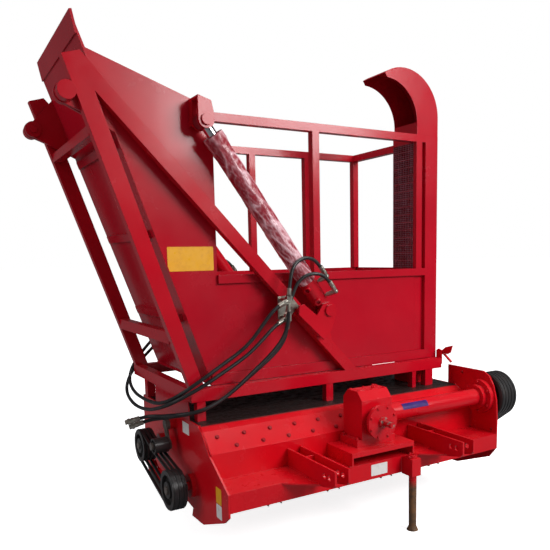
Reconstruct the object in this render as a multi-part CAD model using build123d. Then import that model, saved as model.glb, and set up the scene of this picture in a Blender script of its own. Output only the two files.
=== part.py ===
from build123d import *
import os
from math import sin, cos, tan, atan2, hypot, pi, radians, degrees

# Three-point mounted flail forage harvester with a side-tipping high bin.
# X runs across the machine from the left end plate, Y from the apron to the rear, Z up from the ground.
# Sizes are in millimetres.

# ---- header body
header_w = 1800          # over both end plates
plate_t = 10             # end plate
sheet_t = 5              # hood and trough sheet
apron_low, apron_top = 317, 410
shelf_y = 205            # depth of the shelf behind the apron
wall_top = 545           # top of the upright wall behind the shelf
hood_knee_y, hood_knee_z = 301, 638
deck_z = 662             # top of the flat deck
deck_front_y, deck_rear_y = 345, 1245
right_plate_top = 783

# ---- rotor, auger and their drives
rotor_y, rotor_z = 450, 320
rotor_tube_r = 75
rotor_shaft_r = 22.5
auger_y, auger_z = 905, 440
auger_tube_r, auger_flight_r = 45, 138
auger_pitch = 260
auger_shaft_r = 20
trough_gap = 8           # between auger flight and trough
shaft_fit = 0.06         # radial running clearance of shafts in their bearings
drive_y, drive_z = 125, 625
drive_shaft_r = 22.5
drive_tube_r = 50
bearing_flange_r, bearing_flange_t = 104, 30
bearing_boss_len = 24
pulley_r_drive, pulley_r_rotor_right = 137, 98
pulley_r_rotor_left, pulley_r_auger = 103, 92
groove_pitch, groove_depth = 25, 13
grooves_right, grooves_left = 5, 3
belt_seat = 0.4          # running gap between belt and groove
belt_back = 4            # belt cover above the pulley rim
idler_y, idler_z, idler_r = 640, 505, 42
belt_gap_left, belt_gap_right = 66, 26   # from end plate to the first pulley's inner face

# ---- gearbox and hitch
gearbox_x, gearbox_w, gearbox_d = 900, 200, 168
gearbox_y0 = 33
table_w, table_front, table_z = 418, -28, 490
table_t = 10
pto_flange_r, pto_neck = 95, 53
pto_shaft_r, pto_len = 17.4, 80
hitch_centre, hitch_spread = 895, 825
hitch_gap, hitch_plate_t = 66, 12
hitch_front, hitch_top, hitch_low = -238, 506, 424
hitch_hole_r = 14.35
hitch_hole_z, hitch_hole_y, hitch_hole_pitch = 463, -151, -42

# ---- parking stand
stand_x, stand_y, stand_r, stand_len = 1076, -55, 21, 424
stand_foot_r = 32
stand_fit = 0.3
socket_half, socket_low, socket_top = 31, 312, 408

# ---- gauge wheels
wheel_y, wheel_r, wheel_w, wheel_inset = 1262, 195, 118, 60
rim_r, axle_r, hub_r = 112, 20, 38

# ---- base frame and tipping frames
frame_w = 1738
frame_y, frame_t, frame_low, frame_h = 417, 50, 766, 65
bin_y0, bin_y1 = 475, 1360               # front and rear faces of the bin
post_foot, post_top = (0, 831), (-540, 2411)
post_w = 78
diagonal_top, diagonal_foot = (-459, 2436), (970, 831)
diagonal_w = 86
crossbar_z, crossbar_h, crossbar_t = 1075, 60, 50
pivot_x, pivot_z = -530, 2252
pivot_r, pivot_boss_r = 20, 42
lug_t = 16

# ---- bin and its latch
latch_x, latch_y, latch_z = 1763, 434, 864
bin_bottom, sill_top = 831.4, 889
bin_right = 1741
bin_sheet = 5
wall_low, wall_high = (139, 850), (-455, 2525)
lip = (-476, 2626)
lip_band_t = 8
panel_corner, panel_edge_x = (-418, 2473), 200
top_rail_z, tube = 2198, 45
waist_z = 1370
front_post_x = 798
rear_posts = (827, 1268)
duct_left, duct_y1 = 1566, 700
inner_post_w, outer_post_x = 46, 1641
duct_post_t, duct_sheet = 25, 4
screen_columns, screen_rows, screen_bar = 8, 16, 7

chute_x0, chute_x1, chute_y0, chute_y1, chute_t = 1580, 1678, 530, 690, 5   # neck between deck and bin

# ---- spout hood
spout_cz, spout_r = 2352, 275
spout_y0, spout_y1 = 480, 697
spout_mouth_deg = 123
crescent_cx, crescent_cz, crescent_r = 1330, 2312, 244
spout_low = 2164
spout_sheet = 4
spout_cx = bin_right + spout_sheet - spout_r      # flap lies on the outer face of the duct

# ---- tipping cylinders
cyl_y = 413
cyl_low, cyl_high = (828, 1200), (116, 2180)
barrel_r, rod_r, eye_r, eye_w = 50, 27.5, 40, 56
cheek_gap, cheek_t = 66, 14
eye_fit = 0.1            # radial clearance of the cylinder eyes on their pins
# barrel ports: distance from the lower pin, angle towards the open side, reach of the elbow from the axis
ports = [(175, 38, barrel_r + 60), (85, 55, barrel_r + 70)]
port_r, port_bore_r, port_face = 18, 11.5, barrel_r + 14
routed_barrel_r = 50     # size of barrel that the ends of the hose routes below are laid for

# ---- hydraulic hoses
hose_r, ferrule_r, elbow_r, nose_r = 10, 13, 13, 7.5
elbow_arm, coupler_len = 34, 46
tee_block = (34, 24, 40)
upper_tee, lower_tee = (532, 318, 1275), (542, 350, 1178)
hose_routes = {
    "lift_front_hose": [
        (535, 318, 1304), (550, 323, 1420), (593.5, 330, 1479), (663, 340, 1502),
        (732.3, 345.3, 1479.2), (775.2, 345.3, 1420.1)],
    "lower_front_hose": [
        (542, 350, 1206), (580, 346, 1328), (627.3, 335, 1392.4), (696.7, 320, 1415),
        (770.8, 314.7, 1395.8), (813.7, 314.7, 1336.8)],
    "lift_rear_hose": [
        (502, 318, 1261), (452, 322, 1238), (390, 332, 1163), (318, 343, 1070), (235, 350, 1006),
        (149, 352, 960), (58, 356, 905), (-25, 375, 852), (-79, 440, 800), (-95, 560, 755),
        (-92, 700, 722), (-88, 860, 705), (-83, 1020, 697), (-76, 1160, 699), (-62, 1290, 713),
        (-40, 1400, 742), (-5, 1470, 795), (45, 1490, 858), (110, 1492, 930), (195, 1490, 1012),
        (285, 1490, 1105), (375, 1490, 1208), (460, 1490, 1304), (535, 1490, 1398),
        (593.5, 1490, 1479), (663, 1489.7, 1502), (732.3, 1489.7, 1479.2), (775.2, 1489.7, 1420.1)],
    "lower_rear_hose": [
        (513, 350, 1164), (465, 350, 1141), (395, 348, 1079), (311, 348, 1008), (230, 350, 960),
        (147, 350, 917), (50, 354, 864), (-40, 378, 818), (-104, 440, 772), (-124, 560, 730),
        (-128, 700, 692), (-126, 850, 668), (-120, 1000, 655), (-108, 1150, 656), (-90, 1290, 671),
        (-60, 1400, 702), (-18, 1470, 750), (38, 1492, 810), (110, 1494, 880), (205, 1492, 962),
        (300, 1492, 1058), (390, 1494, 1150), (475, 1498, 1240), (555, 1506, 1325),
        (627.3, 1514, 1392.4), (696.7, 1520.3, 1415), (770.8, 1520.3, 1395.8), (813.7, 1520.3, 1336.8)],
    "lift_feed_hose": [
        (532, 318, 1246), (530, 318, 1170), (513, 323, 1098), (468, 330, 1032), (400, 332, 970),
        (318, 332, 910), (240, 332, 850), (160, 333, 797), (70, 336, 752), (-15, 352, 731),
        (-72, 415, 715), (-92, 510, 695), (-92, 590, 675), (-108, 665, 662), (-152, 718, 655),
        (-215, 735, 640)],
    "lower_feed_hose": [
        (542, 350, 1150), (534, 352, 1090), (505, 356, 1032), (450, 358, 978), (378, 358, 928),
        (300, 358, 876), (224, 358, 822), (146, 359, 776), (64, 362, 738), (2, 382, 722),
        (-42, 436, 705), (-64, 525, 682), (-66, 605, 660), (-84, 685, 640), (-128, 738, 628),
        (-188, 757, 608)],
}

# ---- rotor lugs and flails
lug_r, lug_pitch, lug_count, lug_rows, first_lug = 108, 101, 17, 4, 78
flail_pin_r = 9

mid_y = (bin_y0 + bin_y1) / 2             # mirror plane of the front and rear tipping gear


# ---- small form helpers
def slab(x0, x1, y0, y1, z0, z1):
    return Pos((x0 + x1) / 2, (y0 + y1) / 2, (z0 + z1) / 2) * Box(abs(x1 - x0), abs(y1 - y0), abs(z1 - z0))


def across(outline, x0, x1):
    """Solid of a (y, z) outline between two x values."""
    face = make_face(Polyline([(x0, y, z) for y, z in outline], close=True))
    return extrude(face, amount=x1 - x0, dir=(1, 0, 0))


def along(outline, y0, y1):
    """Solid of an (x, z) outline between two y values."""
    face = make_face(Polyline([(x, y0, z) for x, z in outline], close=True))
    return extrude(face, amount=y1 - y0, dir=(0, 1, 0))


def upward(outline, z0, z1):
    """Solid of an (x, y) outline between two z values."""
    face = make_face(Polyline([(x, y, z0) for x, y in outline], close=True))
    return extrude(face, amount=z1 - z0, dir=(0, 0, 1))


def rod_x(x0, x1, y, z, r):
    return Pos((x0 + x1) / 2, y, z) * Rot(0, 90, 0) * Cylinder(r, x1 - x0)


def rod_y(x, z, y0, y1, r):
    return Pos(x, (y0 + y1) / 2, z) * Rot(90, 0, 0) * Cylinder(r, y1 - y0)


def rod_z(x, y, z0, z1, r):
    return Pos(x, y, (z0 + z1) / 2) * Cylinder(r, z1 - z0)


def rod_from(start, way, length, r):
    return Plane(origin=start, z_dir=way) * Pos(0, 0, length / 2) * Cylinder(r, length)


def strip(points, t):
    """Closed outline of a bent sheet: the points and their mitred offset by t to the left."""
    off = []
    for i, (a, b) in enumerate(points):
        seg = []
        if i:
            seg.append((a - points[i - 1][0], b - points[i - 1][1]))
        if i < len(points) - 1:
            seg.append((points[i + 1][0] - a, points[i + 1][1] - b))
        ns = [(-v / hypot(u, v), u / hypot(u, v)) for u, v in seg]
        nx, ny = sum(n[0] for n in ns), sum(n[1] for n in ns)
        k = t / ((nx * ns[0][0] + ny * ns[0][1]))
        off.append((a + nx * k, b + ny * k))
    return list(points) + off[::-1]


def mirror_y(shape):
    return mirror(shape, Plane((0, mid_y, 0), z_dir=(0, 1, 0)))


def pulley(x0, y, z, r, grooves, bore_r, hub=None):
    """V-belt pulley on an x axis, its first groove half a pitch from x0."""
    w = grooves * groove_pitch
    pts = [(0, 0), (0, r)]
    for i in range(grooves):
        c = (i + 0.5) * groove_pitch
        pts += [(c - 8.5, r), (c - 5.2, r - groove_depth), (c + 5.2, r - groove_depth), (c + 8.5, r)]
    pts += [(w, r), (w, 0)]
    face = make_face(Polyline([(x0 + a, 0, b) for a, b in pts], close=True))
    body = revolve(face, Axis((0, 0, 0), (1, 0, 0)))
    dish = r - groove_depth - 12
    body -= rod_x(x0 - 1, x0 + w * 0.3, 0, 0, dish) - rod_x(x0 - 1, x0 + w, 0, 0, bore_r + 22)
    body -= rod_x(x0 + w * 0.7, x0 + w + 1, 0, 0, dish) - rod_x(x0, x0 + w + 1, 0, 0, bore_r + 22)
    body -= rod_x(x0 - 2, x0 + w + 2, 0, 0, bore_r)
    return Pos(0, y, z) * body


def tangent(c1, r1, c2, r2):
    """Where a belt leaves circle 1 and meets circle 2; a radius below zero bends the belt back."""
    dy, dz = c2[0] - c1[0], c2[1] - c1[1]
    s = (r1 - r2) / hypot(dy, dz)
    run = atan2(dz, dy) + atan2(s, (1 - s * s) ** 0.5)
    n = (sin(run), -cos(run))
    return (c1[0] + n[0] * r1, c1[1] + n[1] * r1), (c2[0] + n[0] * r2, c2[1] + n[1] * r2)


def belt_region(circles, off, x0, x1):
    """Solid of all that a belt encloses, its path moved outwards by off."""
    following = circles[1:] + circles[:1]
    runs = [tangent(c, r + off, c2, r2 + off) for (c, r), (c2, r2) in zip(circles, following)]
    edges = []
    for i, (p, q) in enumerate(runs):
        edges.append(Line((x0, *p), (x0, *q)))
        c, r = circles[(i + 1) % len(circles)]
        e = runs[(i + 1) % len(circles)][0]
        a0, a1 = atan2(q[1] - c[1], q[0] - c[0]), atan2(e[1] - c[1], e[0] - c[0])
        if r > 0 and a1 < a0:
            a1 += 2 * pi
        if r < 0 and a1 > a0:
            a1 -= 2 * pi
        m, k = (a0 + a1) / 2, abs(r + off)
        edges.append(ThreePointArc((x0, *q), (x0, c[0] + k * cos(m), c[1] + k * sin(m)), (x0, *e)))
    return extrude(make_face(Wire(edges)), amount=x1 - x0, dir=(1, 0, 0))


def belt(circles, x0, grooves):
    """Banded V-belt: a flat back joined to one rib in each groove."""
    w = grooves * groove_pitch
    band = belt_region(circles, belt_back, x0 + 3, x0 + w - 3) - belt_region(circles, belt_seat, x0, x0 + w)
    for i in range(grooves):
        c = x0 + (i + 0.5) * groove_pitch
        band += belt_region(circles, belt_seat, c - 4.8, c + 4.8) - belt_region(circles, -8, c - 5, c + 5)
    return band


nodes = {}

# ------------------------------------------------------------------ header body
under_edge = [(deck_rear_y, deck_z), (deck_rear_y, 430), (1010, 262), (454, 192), (473, 143), (314, 150),
              (54, 254)]
left_outline = [(0, 297), (0, apron_top), (208, 539), (hood_knee_y, 638), (338, 655), (deck_front_y, deck_z)]
left_outline += under_edge
right_outline = [(0, 320), (-2, 509), (5, 619), (31, 708), (63, 758), (111, right_plate_top),
                 (408, right_plate_top), (408, deck_z)] + under_edge
rotor_bore = rotor_shaft_r + shaft_fit
auger_bore = auger_shaft_r + shaft_fit
drive_bore = drive_shaft_r + shaft_fit

left_plate = across(left_outline, 0, plate_t)
right_plate = across(right_outline, header_w - plate_t, header_w)
# bearing housings: column names y, z, housing radius, shaft bore radius
housings = [(rotor_y, rotor_z, 62, rotor_bore), (auger_y, auger_z, 52, auger_bore)]
for y, z, r, bore in housings:
    left_plate += rod_x(-bearing_boss_len, 0, y, z, r)
    left_plate -= rod_x(-60, 40, y, z, bore)
    right_plate += rod_x(header_w, header_w + bearing_boss_len - 6, y, z, r)
    right_plate -= rod_x(header_w - 40, header_w + 60, y, z, bore)
right_plate -= rod_x(header_w - 40, header_w + 60, drive_y, drive_z, drive_bore)
nodes["left_side_plate"] = left_plate
nodes["right_side_plate"] = right_plate

hood_line = [(0, apron_low), (0, apron_top), (shelf_y, apron_top), (shelf_y, wall_top),
             (hood_knee_y, hood_knee_z), (deck_front_y, deck_z), (deck_rear_y, deck_z)]
hood = across(strip(hood_line, -sheet_t), plate_t, header_w - plate_t)
hood -= slab(chute_x0, chute_x1, chute_y0, chute_y1, deck_z - 20, deck_z + 20)
nodes["hood"] = hood
neck = slab(chute_x0 - chute_t, chute_x1 + chute_t, chute_y0 - chute_t, chute_y1 + chute_t,
            deck_z, bin_bottom - 1)
neck -= slab(chute_x0, chute_x1, chute_y0, chute_y1, deck_z - 1, bin_bottom)
nodes["discharge_neck"] = neck

trough_r = auger_flight_r + trough_gap
x0, x1 = plate_t, header_w - plate_t
trough = rod_x(x0, x1, auger_y, auger_z, trough_r + sheet_t) - rod_x(x0, x1, auger_y, auger_z, trough_r)
trough -= slab(x0, x1, auger_y - 300, auger_y + 300, auger_z, auger_z + 300)
trough -= slab(x0, x1, auger_y - 300, auger_y - 92, auger_z - 60, auger_z + 300)
trough += slab(x0, x1, auger_y + trough_r, auger_y + trough_r + sheet_t, auger_z, deck_z - sheet_t)
nodes["auger_trough"] = trough

# ------------------------------------------------------------------ hitch brackets and gearbox table
brackets = None
for c in (hitch_centre - hitch_spread / 2, hitch_centre + hitch_spread / 2):
    plates = None
    for x in (c - hitch_gap / 2 - hitch_plate_t, c + hitch_gap / 2):
        p = across([(shelf_y, apron_top), (shelf_y, hitch_top - 6), (shelf_y - 6, hitch_top),
                    (hitch_front, hitch_top), (hitch_front, hitch_low + 14), (hitch_front + 14, hitch_low),
                    (-130, apron_top - 8), (0, apron_top - 8), (0, apron_top)], x, x + hitch_plate_t)
        for y in (hitch_hole_y, hitch_hole_y + hitch_hole_pitch):
            p -= rod_x(x - 1, x + hitch_plate_t + 1, y, hitch_hole_z, hitch_hole_r)
        plates = p if plates is None else plates + p
    # closing web between the plates and the side gusset that ties them to the apron
    plates += slab(c - hitch_gap / 2, c + hitch_gap / 2, 60, 70, apron_top, hitch_top - 12)
    plates += upward([(c - hitch_gap / 2 - hitch_plate_t, 0), (c - hitch_gap / 2 - hitch_plate_t, -120),
                      (c - hitch_gap / 2 - hitch_plate_t - 150, 0)], apron_top - 8, apron_top)
    plates += upward([(c - hitch_gap / 2 - hitch_plate_t, 0), (c - hitch_gap / 2 - hitch_plate_t, -60),
                      (c + hitch_gap / 2 + hitch_plate_t, -60), (c + hitch_gap / 2 + hitch_plate_t, 0)],
                     apron_top - 8, apron_top)
    brackets = plates if brackets is None else brackets + plates
nodes["hitch_brackets"] = brackets

tx0, tx1 = gearbox_x - table_w / 2, gearbox_x + table_w / 2
table = slab(tx0, tx1, table_front, shelf_y, table_z - table_t, table_z)
for x in (tx0, tx1 - 10):
    table += slab(x, x + 10, table_front, shelf_y, apron_top, table_z - table_t)
table += slab(tx0 + 10, tx1 - 10, table_front, table_front + 8, table_z - 26, table_z - table_t)
table -= slab(tx0 - 1, tx1 + 1, table_front - 1, 0, apron_top - 10, apron_top + 12)
nodes["gearbox_table"] = table

# ------------------------------------------------------------------ gearbox and drive line
gx0, gx1 = gearbox_x - gearbox_w / 2, gearbox_x + gearbox_w / 2
gy1 = gearbox_y0 + gearbox_d
foot_top, shoulder_z, gearbox_top = 530, 740, 785
box = across([(gearbox_y0, foot_top), (gearbox_y0, shoulder_z), (gearbox_y0 + 40, gearbox_top),
              (gy1 - 40, gearbox_top), (gy1, shoulder_z), (gy1, foot_top)], gx0, gx1)
box += slab(gx0 - 28, gx1 + 28, gearbox_y0 + 4, gy1 - 4, table_z, foot_top)
box += rod_y(gearbox_x, drive_z, gearbox_y0 - pto_neck, gearbox_y0, pto_flange_r - 22)
box += rod_y(gearbox_x, drive_z, gearbox_y0 - pto_neck, gearbox_y0 - pto_neck + 16, pto_flange_r)
box += rod_x(gx1, gx1 + 20, drive_y, drive_z, 72)
box -= rod_y(gearbox_x, drive_z, gearbox_y0 - pto_neck - 1, gearbox_y0 + 20, pto_shaft_r + 12 + shaft_fit)
box -= rod_x(gx1 - 30, gx1 + 21, drive_y, drive_z, drive_bore)
nodes["gearbox"] = box

stub_end = gearbox_y0 - pto_neck - pto_len
input_shaft = rod_y(gearbox_x, drive_z, stub_end, gearbox_y0 + 19.7, pto_shaft_r)
input_shaft += rod_y(gearbox_x, drive_z, gearbox_y0 - pto_neck - 12, gearbox_y0 + 19.7, pto_shaft_r + 12)
for k in range(6):
    a = k * pi / 3
    groove = Pos(gearbox_x + 17.2 * sin(a), stub_end + 30, drive_z + 17.2 * cos(a))
    input_shaft -= groove * Rot(0, degrees(a), 0) * Box(7, 76, 4.4)
nodes["input_shaft"] = input_shaft

plate_face = header_w - plate_t
flange_face = header_w - plate_t - bearing_flange_t
housing = rod_x(gx1 + 20, flange_face, drive_y, drive_z, drive_tube_r)
housing += rod_x(flange_face, plate_face, drive_y, drive_z, bearing_flange_r)
housing += rod_x(flange_face - 30, flange_face, drive_y, drive_z, 74)
housing -= rod_x(gx1 + 19, plate_face + 1, drive_y, drive_z, drive_bore)
nodes["drive_tube"] = housing

shaft_end = header_w + belt_gap_right + grooves_right * groove_pitch + 14
nodes["drive_shaft"] = rod_x(gx1 - 29.7, shaft_end, drive_y, drive_z, drive_shaft_r)
rx0 = header_w + belt_gap_right
nodes["drive_pulley"] = pulley(rx0, drive_y, drive_z, pulley_r_drive, grooves_right, drive_shaft_r)

# ------------------------------------------------------------------ rotor with its Y flails
lx0 = -belt_gap_left - grooves_left * groove_pitch
rotor = rod_x(plate_t + 12, header_w - plate_t - 12, rotor_y, rotor_z, rotor_tube_r)
rotor += rod_x(lx0 - 8, plate_t + 12, rotor_y, rotor_z, rotor_shaft_r)
rotor += rod_x(header_w - plate_t - 12, shaft_end, rotor_y, rotor_z, rotor_shaft_r)
flails = None
for i in range(lug_count):
    x, a = first_lug + i * lug_pitch, (i * 3 % lug_rows) * 90 + 270
    lug = slab(x - 6, x + 6, -24, 24, rotor_tube_r - 4, lug_r) + rod_x(x - 6, x + 6, 0, lug_r, 24)
    lug -= rod_x(x - 7, x + 7, 0, lug_r, flail_pin_r + 0.3)
    rotor += Pos(0, rotor_y, rotor_z) * Rot(a - 90, 0, 0) * lug
    blade = None
    for s in (-1, 1):
        b = slab(x + s * 6.3, x + s * 12.3, -20, 20, lug_r - 26, lug_r + 52)
        b += Pos(x + s * 9.3, 0, lug_r + 52) * Rot(0, s * 34, 0) * Pos(0, 0, 30) * Box(6, 40, 66)
        blade = b if blade is None else blade + b
    blade += rod_x(x - 20, x + 20, 0, lug_r, flail_pin_r)
    blade = Pos(0, rotor_y, rotor_z) * Rot(a - 90, 0, 0) * blade
    flails = blade if flails is None else flails + blade
nodes["rotor"] = rotor
nodes["flails"] = flails
nodes["rotor_pulley_left"] = pulley(lx0, rotor_y, rotor_z, pulley_r_rotor_left, grooves_left, rotor_shaft_r)
nodes["rotor_pulley_right"] = pulley(rx0, rotor_y, rotor_z, pulley_r_rotor_right, grooves_right,
                                     rotor_shaft_r)
right_path = [((drive_y, drive_z), pulley_r_drive), ((rotor_y, rotor_z), pulley_r_rotor_right)]
nodes["drive_belt"] = belt(right_path, rx0, grooves_right)

# ------------------------------------------------------------------ auger, its pulley, belt and idler
auger = rod_x(plate_t + 12, header_w - plate_t - 12, auger_y, auger_z, auger_tube_r)
auger += rod_x(lx0 - 8, plate_t + 12, auger_y, auger_z, auger_shaft_r)
auger += rod_x(header_w - plate_t - 12, header_w + bearing_boss_len, auger_y, auger_z, auger_shaft_r)
turn_x0, turns = 60, 6
for k in range(turns):
    c = turn_x0 + (k + 0.5) * auger_pitch
    disc = rod_x(c - 3, c + 3, 0, 0, auger_flight_r) - rod_x(c - 4, c + 4, 0, 0, auger_tube_r - 2)
    auger += Pos(0, auger_y, auger_z) * Pos(c, 0, 0) * Rot(0, 0, 18) * Pos(-c, 0, 0) * disc
nodes["auger"] = auger
nodes["auger_pulley"] = pulley(lx0, auger_y, auger_z, pulley_r_auger, grooves_left, auger_shaft_r)
left_path = [((rotor_y, rotor_z), pulley_r_rotor_left), ((auger_y, auger_z), pulley_r_auger),
             ((idler_y, idler_z), -(idler_r + belt_back + belt_seat))]
nodes["auger_belt"] = belt(left_path, lx0, grooves_left)
ix0, ix1 = lx0 - 2, lx0 + grooves_left * groove_pitch + 2
idler = rod_x(ix0, ix1, idler_y, idler_z, idler_r) - rod_x(ix0 - 1, ix0 + 12, idler_y, idler_z, idler_r - 8)
idler -= rod_x(ix0 - 2, ix1 + 2, idler_y, idler_z, 12 + shaft_fit)
nodes["idler_pulley"] = idler
arm = across([(idler_y - 24, idler_z - 20), (idler_y + 24, idler_z - 20), (idler_y + 74, idler_z + 104),
              (idler_y + 30, idler_z + 116)], ix1 + 6, ix1 + 16)
arm += rod_x(ix1 + 6, ix1 + 16, idler_y, idler_z, 30)
arm += rod_x(ix1 + 6, 0, idler_y + 50, idler_z + 96, 30)
arm += rod_x(ix0 - 14, ix1 + 6, idler_y, idler_z, 12) + rod_x(ix0 - 14, ix0 - 0.3, idler_y, idler_z, 20)
arm += rod_x(ix1 + 0.3, ix1 + 6, idler_y, idler_z, 20)
nodes["idler_arm"] = arm

# ------------------------------------------------------------------ parking stand
socket = slab(stand_x - socket_half, stand_x + socket_half, stand_y - socket_half, 0, socket_low, socket_top)
socket -= rod_z(stand_x, stand_y, socket_low - 1, socket_top + 1, stand_r + stand_fit)
nodes["stand_socket"] = socket
stand = rod_z(stand_x, stand_y, 0, stand_len, stand_r)
stand -= rod_z(stand_x, stand_y, 60, stand_len + 1, stand_r - 4)
stand += Pos(stand_x, stand_y, 12) * Cone(stand_foot_r, stand_r, 24)
stand += rod_x(stand_x - stand_r - 9, stand_x + stand_r + 9, stand_y, stand_len - 8, 6)
nodes["parking_stand"] = stand

# ------------------------------------------------------------------ gauge wheels
arms = None
for side, xs in (("left", (wheel_inset, wheel_inset + wheel_w)),
                 ("right", (header_w - wheel_inset, header_w - wheel_inset - wheel_w))):
    a, b = min(xs), max(xs)
    m = (a + b) / 2
    half = make_face(Polyline([(a + 10, 0, rim_r), (a, 0, rim_r + 26), (a, 0, wheel_r - 22),
                               (a + 16, 0, wheel_r), (b - 16, 0, wheel_r), (b, 0, wheel_r - 22),
                               (b, 0, rim_r + 26), (b - 10, 0, rim_r)],
                              close=True))
    nodes[side + "_wheel_tyre"] = Pos(0, wheel_y, wheel_r) * revolve(half, Axis((0, 0, 0), (1, 0, 0)))
    rim = rod_x(a + 10, b - 10, 0, 0, rim_r)
    rim -= rod_x(a + 9, m - 5, 0, 0, rim_r - 8)
    rim -= rod_x(m + 5, b - 9, 0, 0, rim_r - 8)
    rim += rod_x(a + 6, b - 6, 0, 0, hub_r)
    rim -= rod_x(a, b, 0, 0, axle_r + shaft_fit)
    nodes[side + "_wheel_rim"] = Pos(0, wheel_y, wheel_r) * rim
    inner, s = (plate_t, 1) if side == "left" else (header_w - plate_t, -1)
    xa, xb = sorted((inner + s * 12, inner + s * 27))
    arm = across([(1120, 560), (1120, 640), (1210, 640), (1235, 560), (wheel_y + 34, wheel_r),
                  (wheel_y - 34, wheel_r)], xa, xb) + rod_x(xa, xb, wheel_y, wheel_r, 42)
    arm += slab(*sorted((inner, inner + s * 12)), 1125, 1205, 570, 635)
    wheel_side = wheel_inset - plate_t + wheel_w     # outer side of the wheel, from the end plate
    arm += rod_x(*sorted((inner + s * 27, inner + s * (wheel_side + 8))), wheel_y, wheel_r, axle_r)
    arm += rod_x(*sorted((inner + s * (wheel_side - 5.7), inner + s * (wheel_side + 8))), wheel_y, wheel_r,
                 axle_r + 12)
    arms = arm if arms is None else arms + arm
nodes["wheel_arms"] = arms

# ------------------------------------------------------------------ base frame on the header
f0, f1 = frame_y, 2 * mid_y - frame_y
frame_top = frame_low + frame_h
base = slab(0, frame_w, f0, f0 + frame_t, frame_low, frame_top)
base += slab(0, frame_w, f1 - frame_t, f1, frame_low, frame_top)
for x in (0, frame_w - frame_t):
    base += slab(x, x + frame_t, f0 + frame_t, f1 - frame_t, frame_low, frame_top)
# legs from the deck: column names x0, x1, y0, y1
legs = [(30, 78, 420, 462), (834, 882, 420, 462), (1491, 1521, 420, 462), (1601, 1663, 420, 462),
        (0.0, 48, 1150, 1205), (1690, 1738, 1150, 1205)]
for lx_0, lx_1, ly_0, ly_1 in legs:
    base += slab(lx_0, lx_1, ly_0, ly_1, deck_z, frame_low)
base += slab(0, 6, f0 + frame_t, 1000, deck_z, frame_low)
nodes["base_frame"] = base


# ------------------------------------------------------------------ tipping frames, one at each side
def tipping_frame():
    y0, y1 = frame_y, frame_y + frame_t
    lean = (post_top[0] - post_foot[0]) / (post_top[1] - post_foot[1])
    post = along([post_foot, post_top, diagonal_top, (post_foot[0] + post_w, post_foot[1])], y0, y1)
    diagonal = along([diagonal_top, post_top, (diagonal_foot[0], diagonal_foot[1]),
                      (diagonal_foot[0] + diagonal_w, diagonal_foot[1])], y0, y1)
    body = post + diagonal
    # pivot plate on the post and the pivot pin
    xz = post_foot[0] + lean * (pivot_z - post_foot[1])
    plate = along([(pivot_x, pivot_z + 46), (xz + 30, pivot_z + 90), (xz + 70, pivot_z - 90),
                   (pivot_x, pivot_z - 46)], y1 - lug_t, y1) + rod_y(pivot_x, pivot_z, y1 - lug_t, y1, 46)
    body += plate
    body += rod_y(pivot_x, pivot_z, y0 - 30, y1, pivot_boss_r)
    body += rod_y(pivot_x, pivot_z, y1, bin_y0 + lug_t + 14, pivot_r)
    return body


front = tipping_frame()
nodes["front_tip_frame"] = front
nodes["rear_tip_frame"] = mirror_y(front)
lean = (post_top[0] - post_foot[0]) / (post_top[1] - post_foot[1])
y_in0, y_in1 = frame_y + frame_t, f1 - frame_t
cross = None
for z0, h, t in ((crossbar_z, crossbar_h, crossbar_t), (2075, 50, 46)):
    x = post_foot[0] + lean * (z0 + h / 2 - post_foot[1])
    c = slab(x + 4, x + 4 + t, y_in0, y_in1, z0, z0 + h)
    cross = c if cross is None else cross + c
nodes["frame_crossbars"] = cross


def low_bracket():
    """Cylinder bracket on the diagonal: two cheeks, spacer webs and the pin."""
    lx, lz = cyl_low
    ya, yb = cyl_y - cheek_gap / 2, cyl_y + cheek_gap / 2
    outline = [(625, 1187), (630, 1238), (659, 1243), (743, 1176), (782, 1235), (828, 1248), (868, 1225),
               (874, 1180), (842, 1085), (788, 1035)]
    body = along(outline, ya - cheek_t, ya)
    d = hypot(diagonal_foot[0] - post_top[0], diagonal_foot[1] - post_top[1])
    u = ((diagonal_foot[0] - post_top[0]) / d, (diagonal_foot[1] - post_top[1]) / d)
    n = (-u[1], u[0])
    def on(t, k):
        return (diagonal_foot[0] - u[0] * t + n[0] * k, diagonal_foot[1] - u[1] * t + n[1] * k)
    wide = diagonal_w * n[0]
    # webs from the front cheek back to the diagonal's face
    for t in (300, 470):
        body += along([on(t, 2), on(t + 12, 2), on(t + 12, wide - 2), on(t, wide - 2)], ya, frame_y)
    body += along([on(300, 2), on(482, 2), on(482, 12), on(300, 12)], ya, frame_y)
    # rear cheek stands on the diagonal's upper edge
    ux, uz = diagonal_foot[0] + diagonal_w, diagonal_foot[1]
    k = hypot(diagonal_top[0] - ux, diagonal_top[1] - uz)
    e = ((diagonal_top[0] - ux) / k, (diagonal_top[1] - uz) / k)
    body += along([(ux + e[0] * 230, uz + e[1] * 230), (ux + e[0] * 430, uz + e[1] * 430),
                   (lx - 34, lz + 22), (lx + 34, lz + 22), (lx + 40, lz - 10)], yb, yb + cheek_t)
    body += rod_y(lx, lz, yb, yb + cheek_t, 40)
    pin_head = ya - cheek_t - 12
    body += rod_y(lx, lz, pin_head, yb + cheek_t + 6, 20) + rod_y(lx, lz, pin_head, ya - cheek_t, 32)
    return body


lower = low_bracket()
nodes["lower_cylinder_brackets"] = lower + mirror_y(lower)


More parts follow.
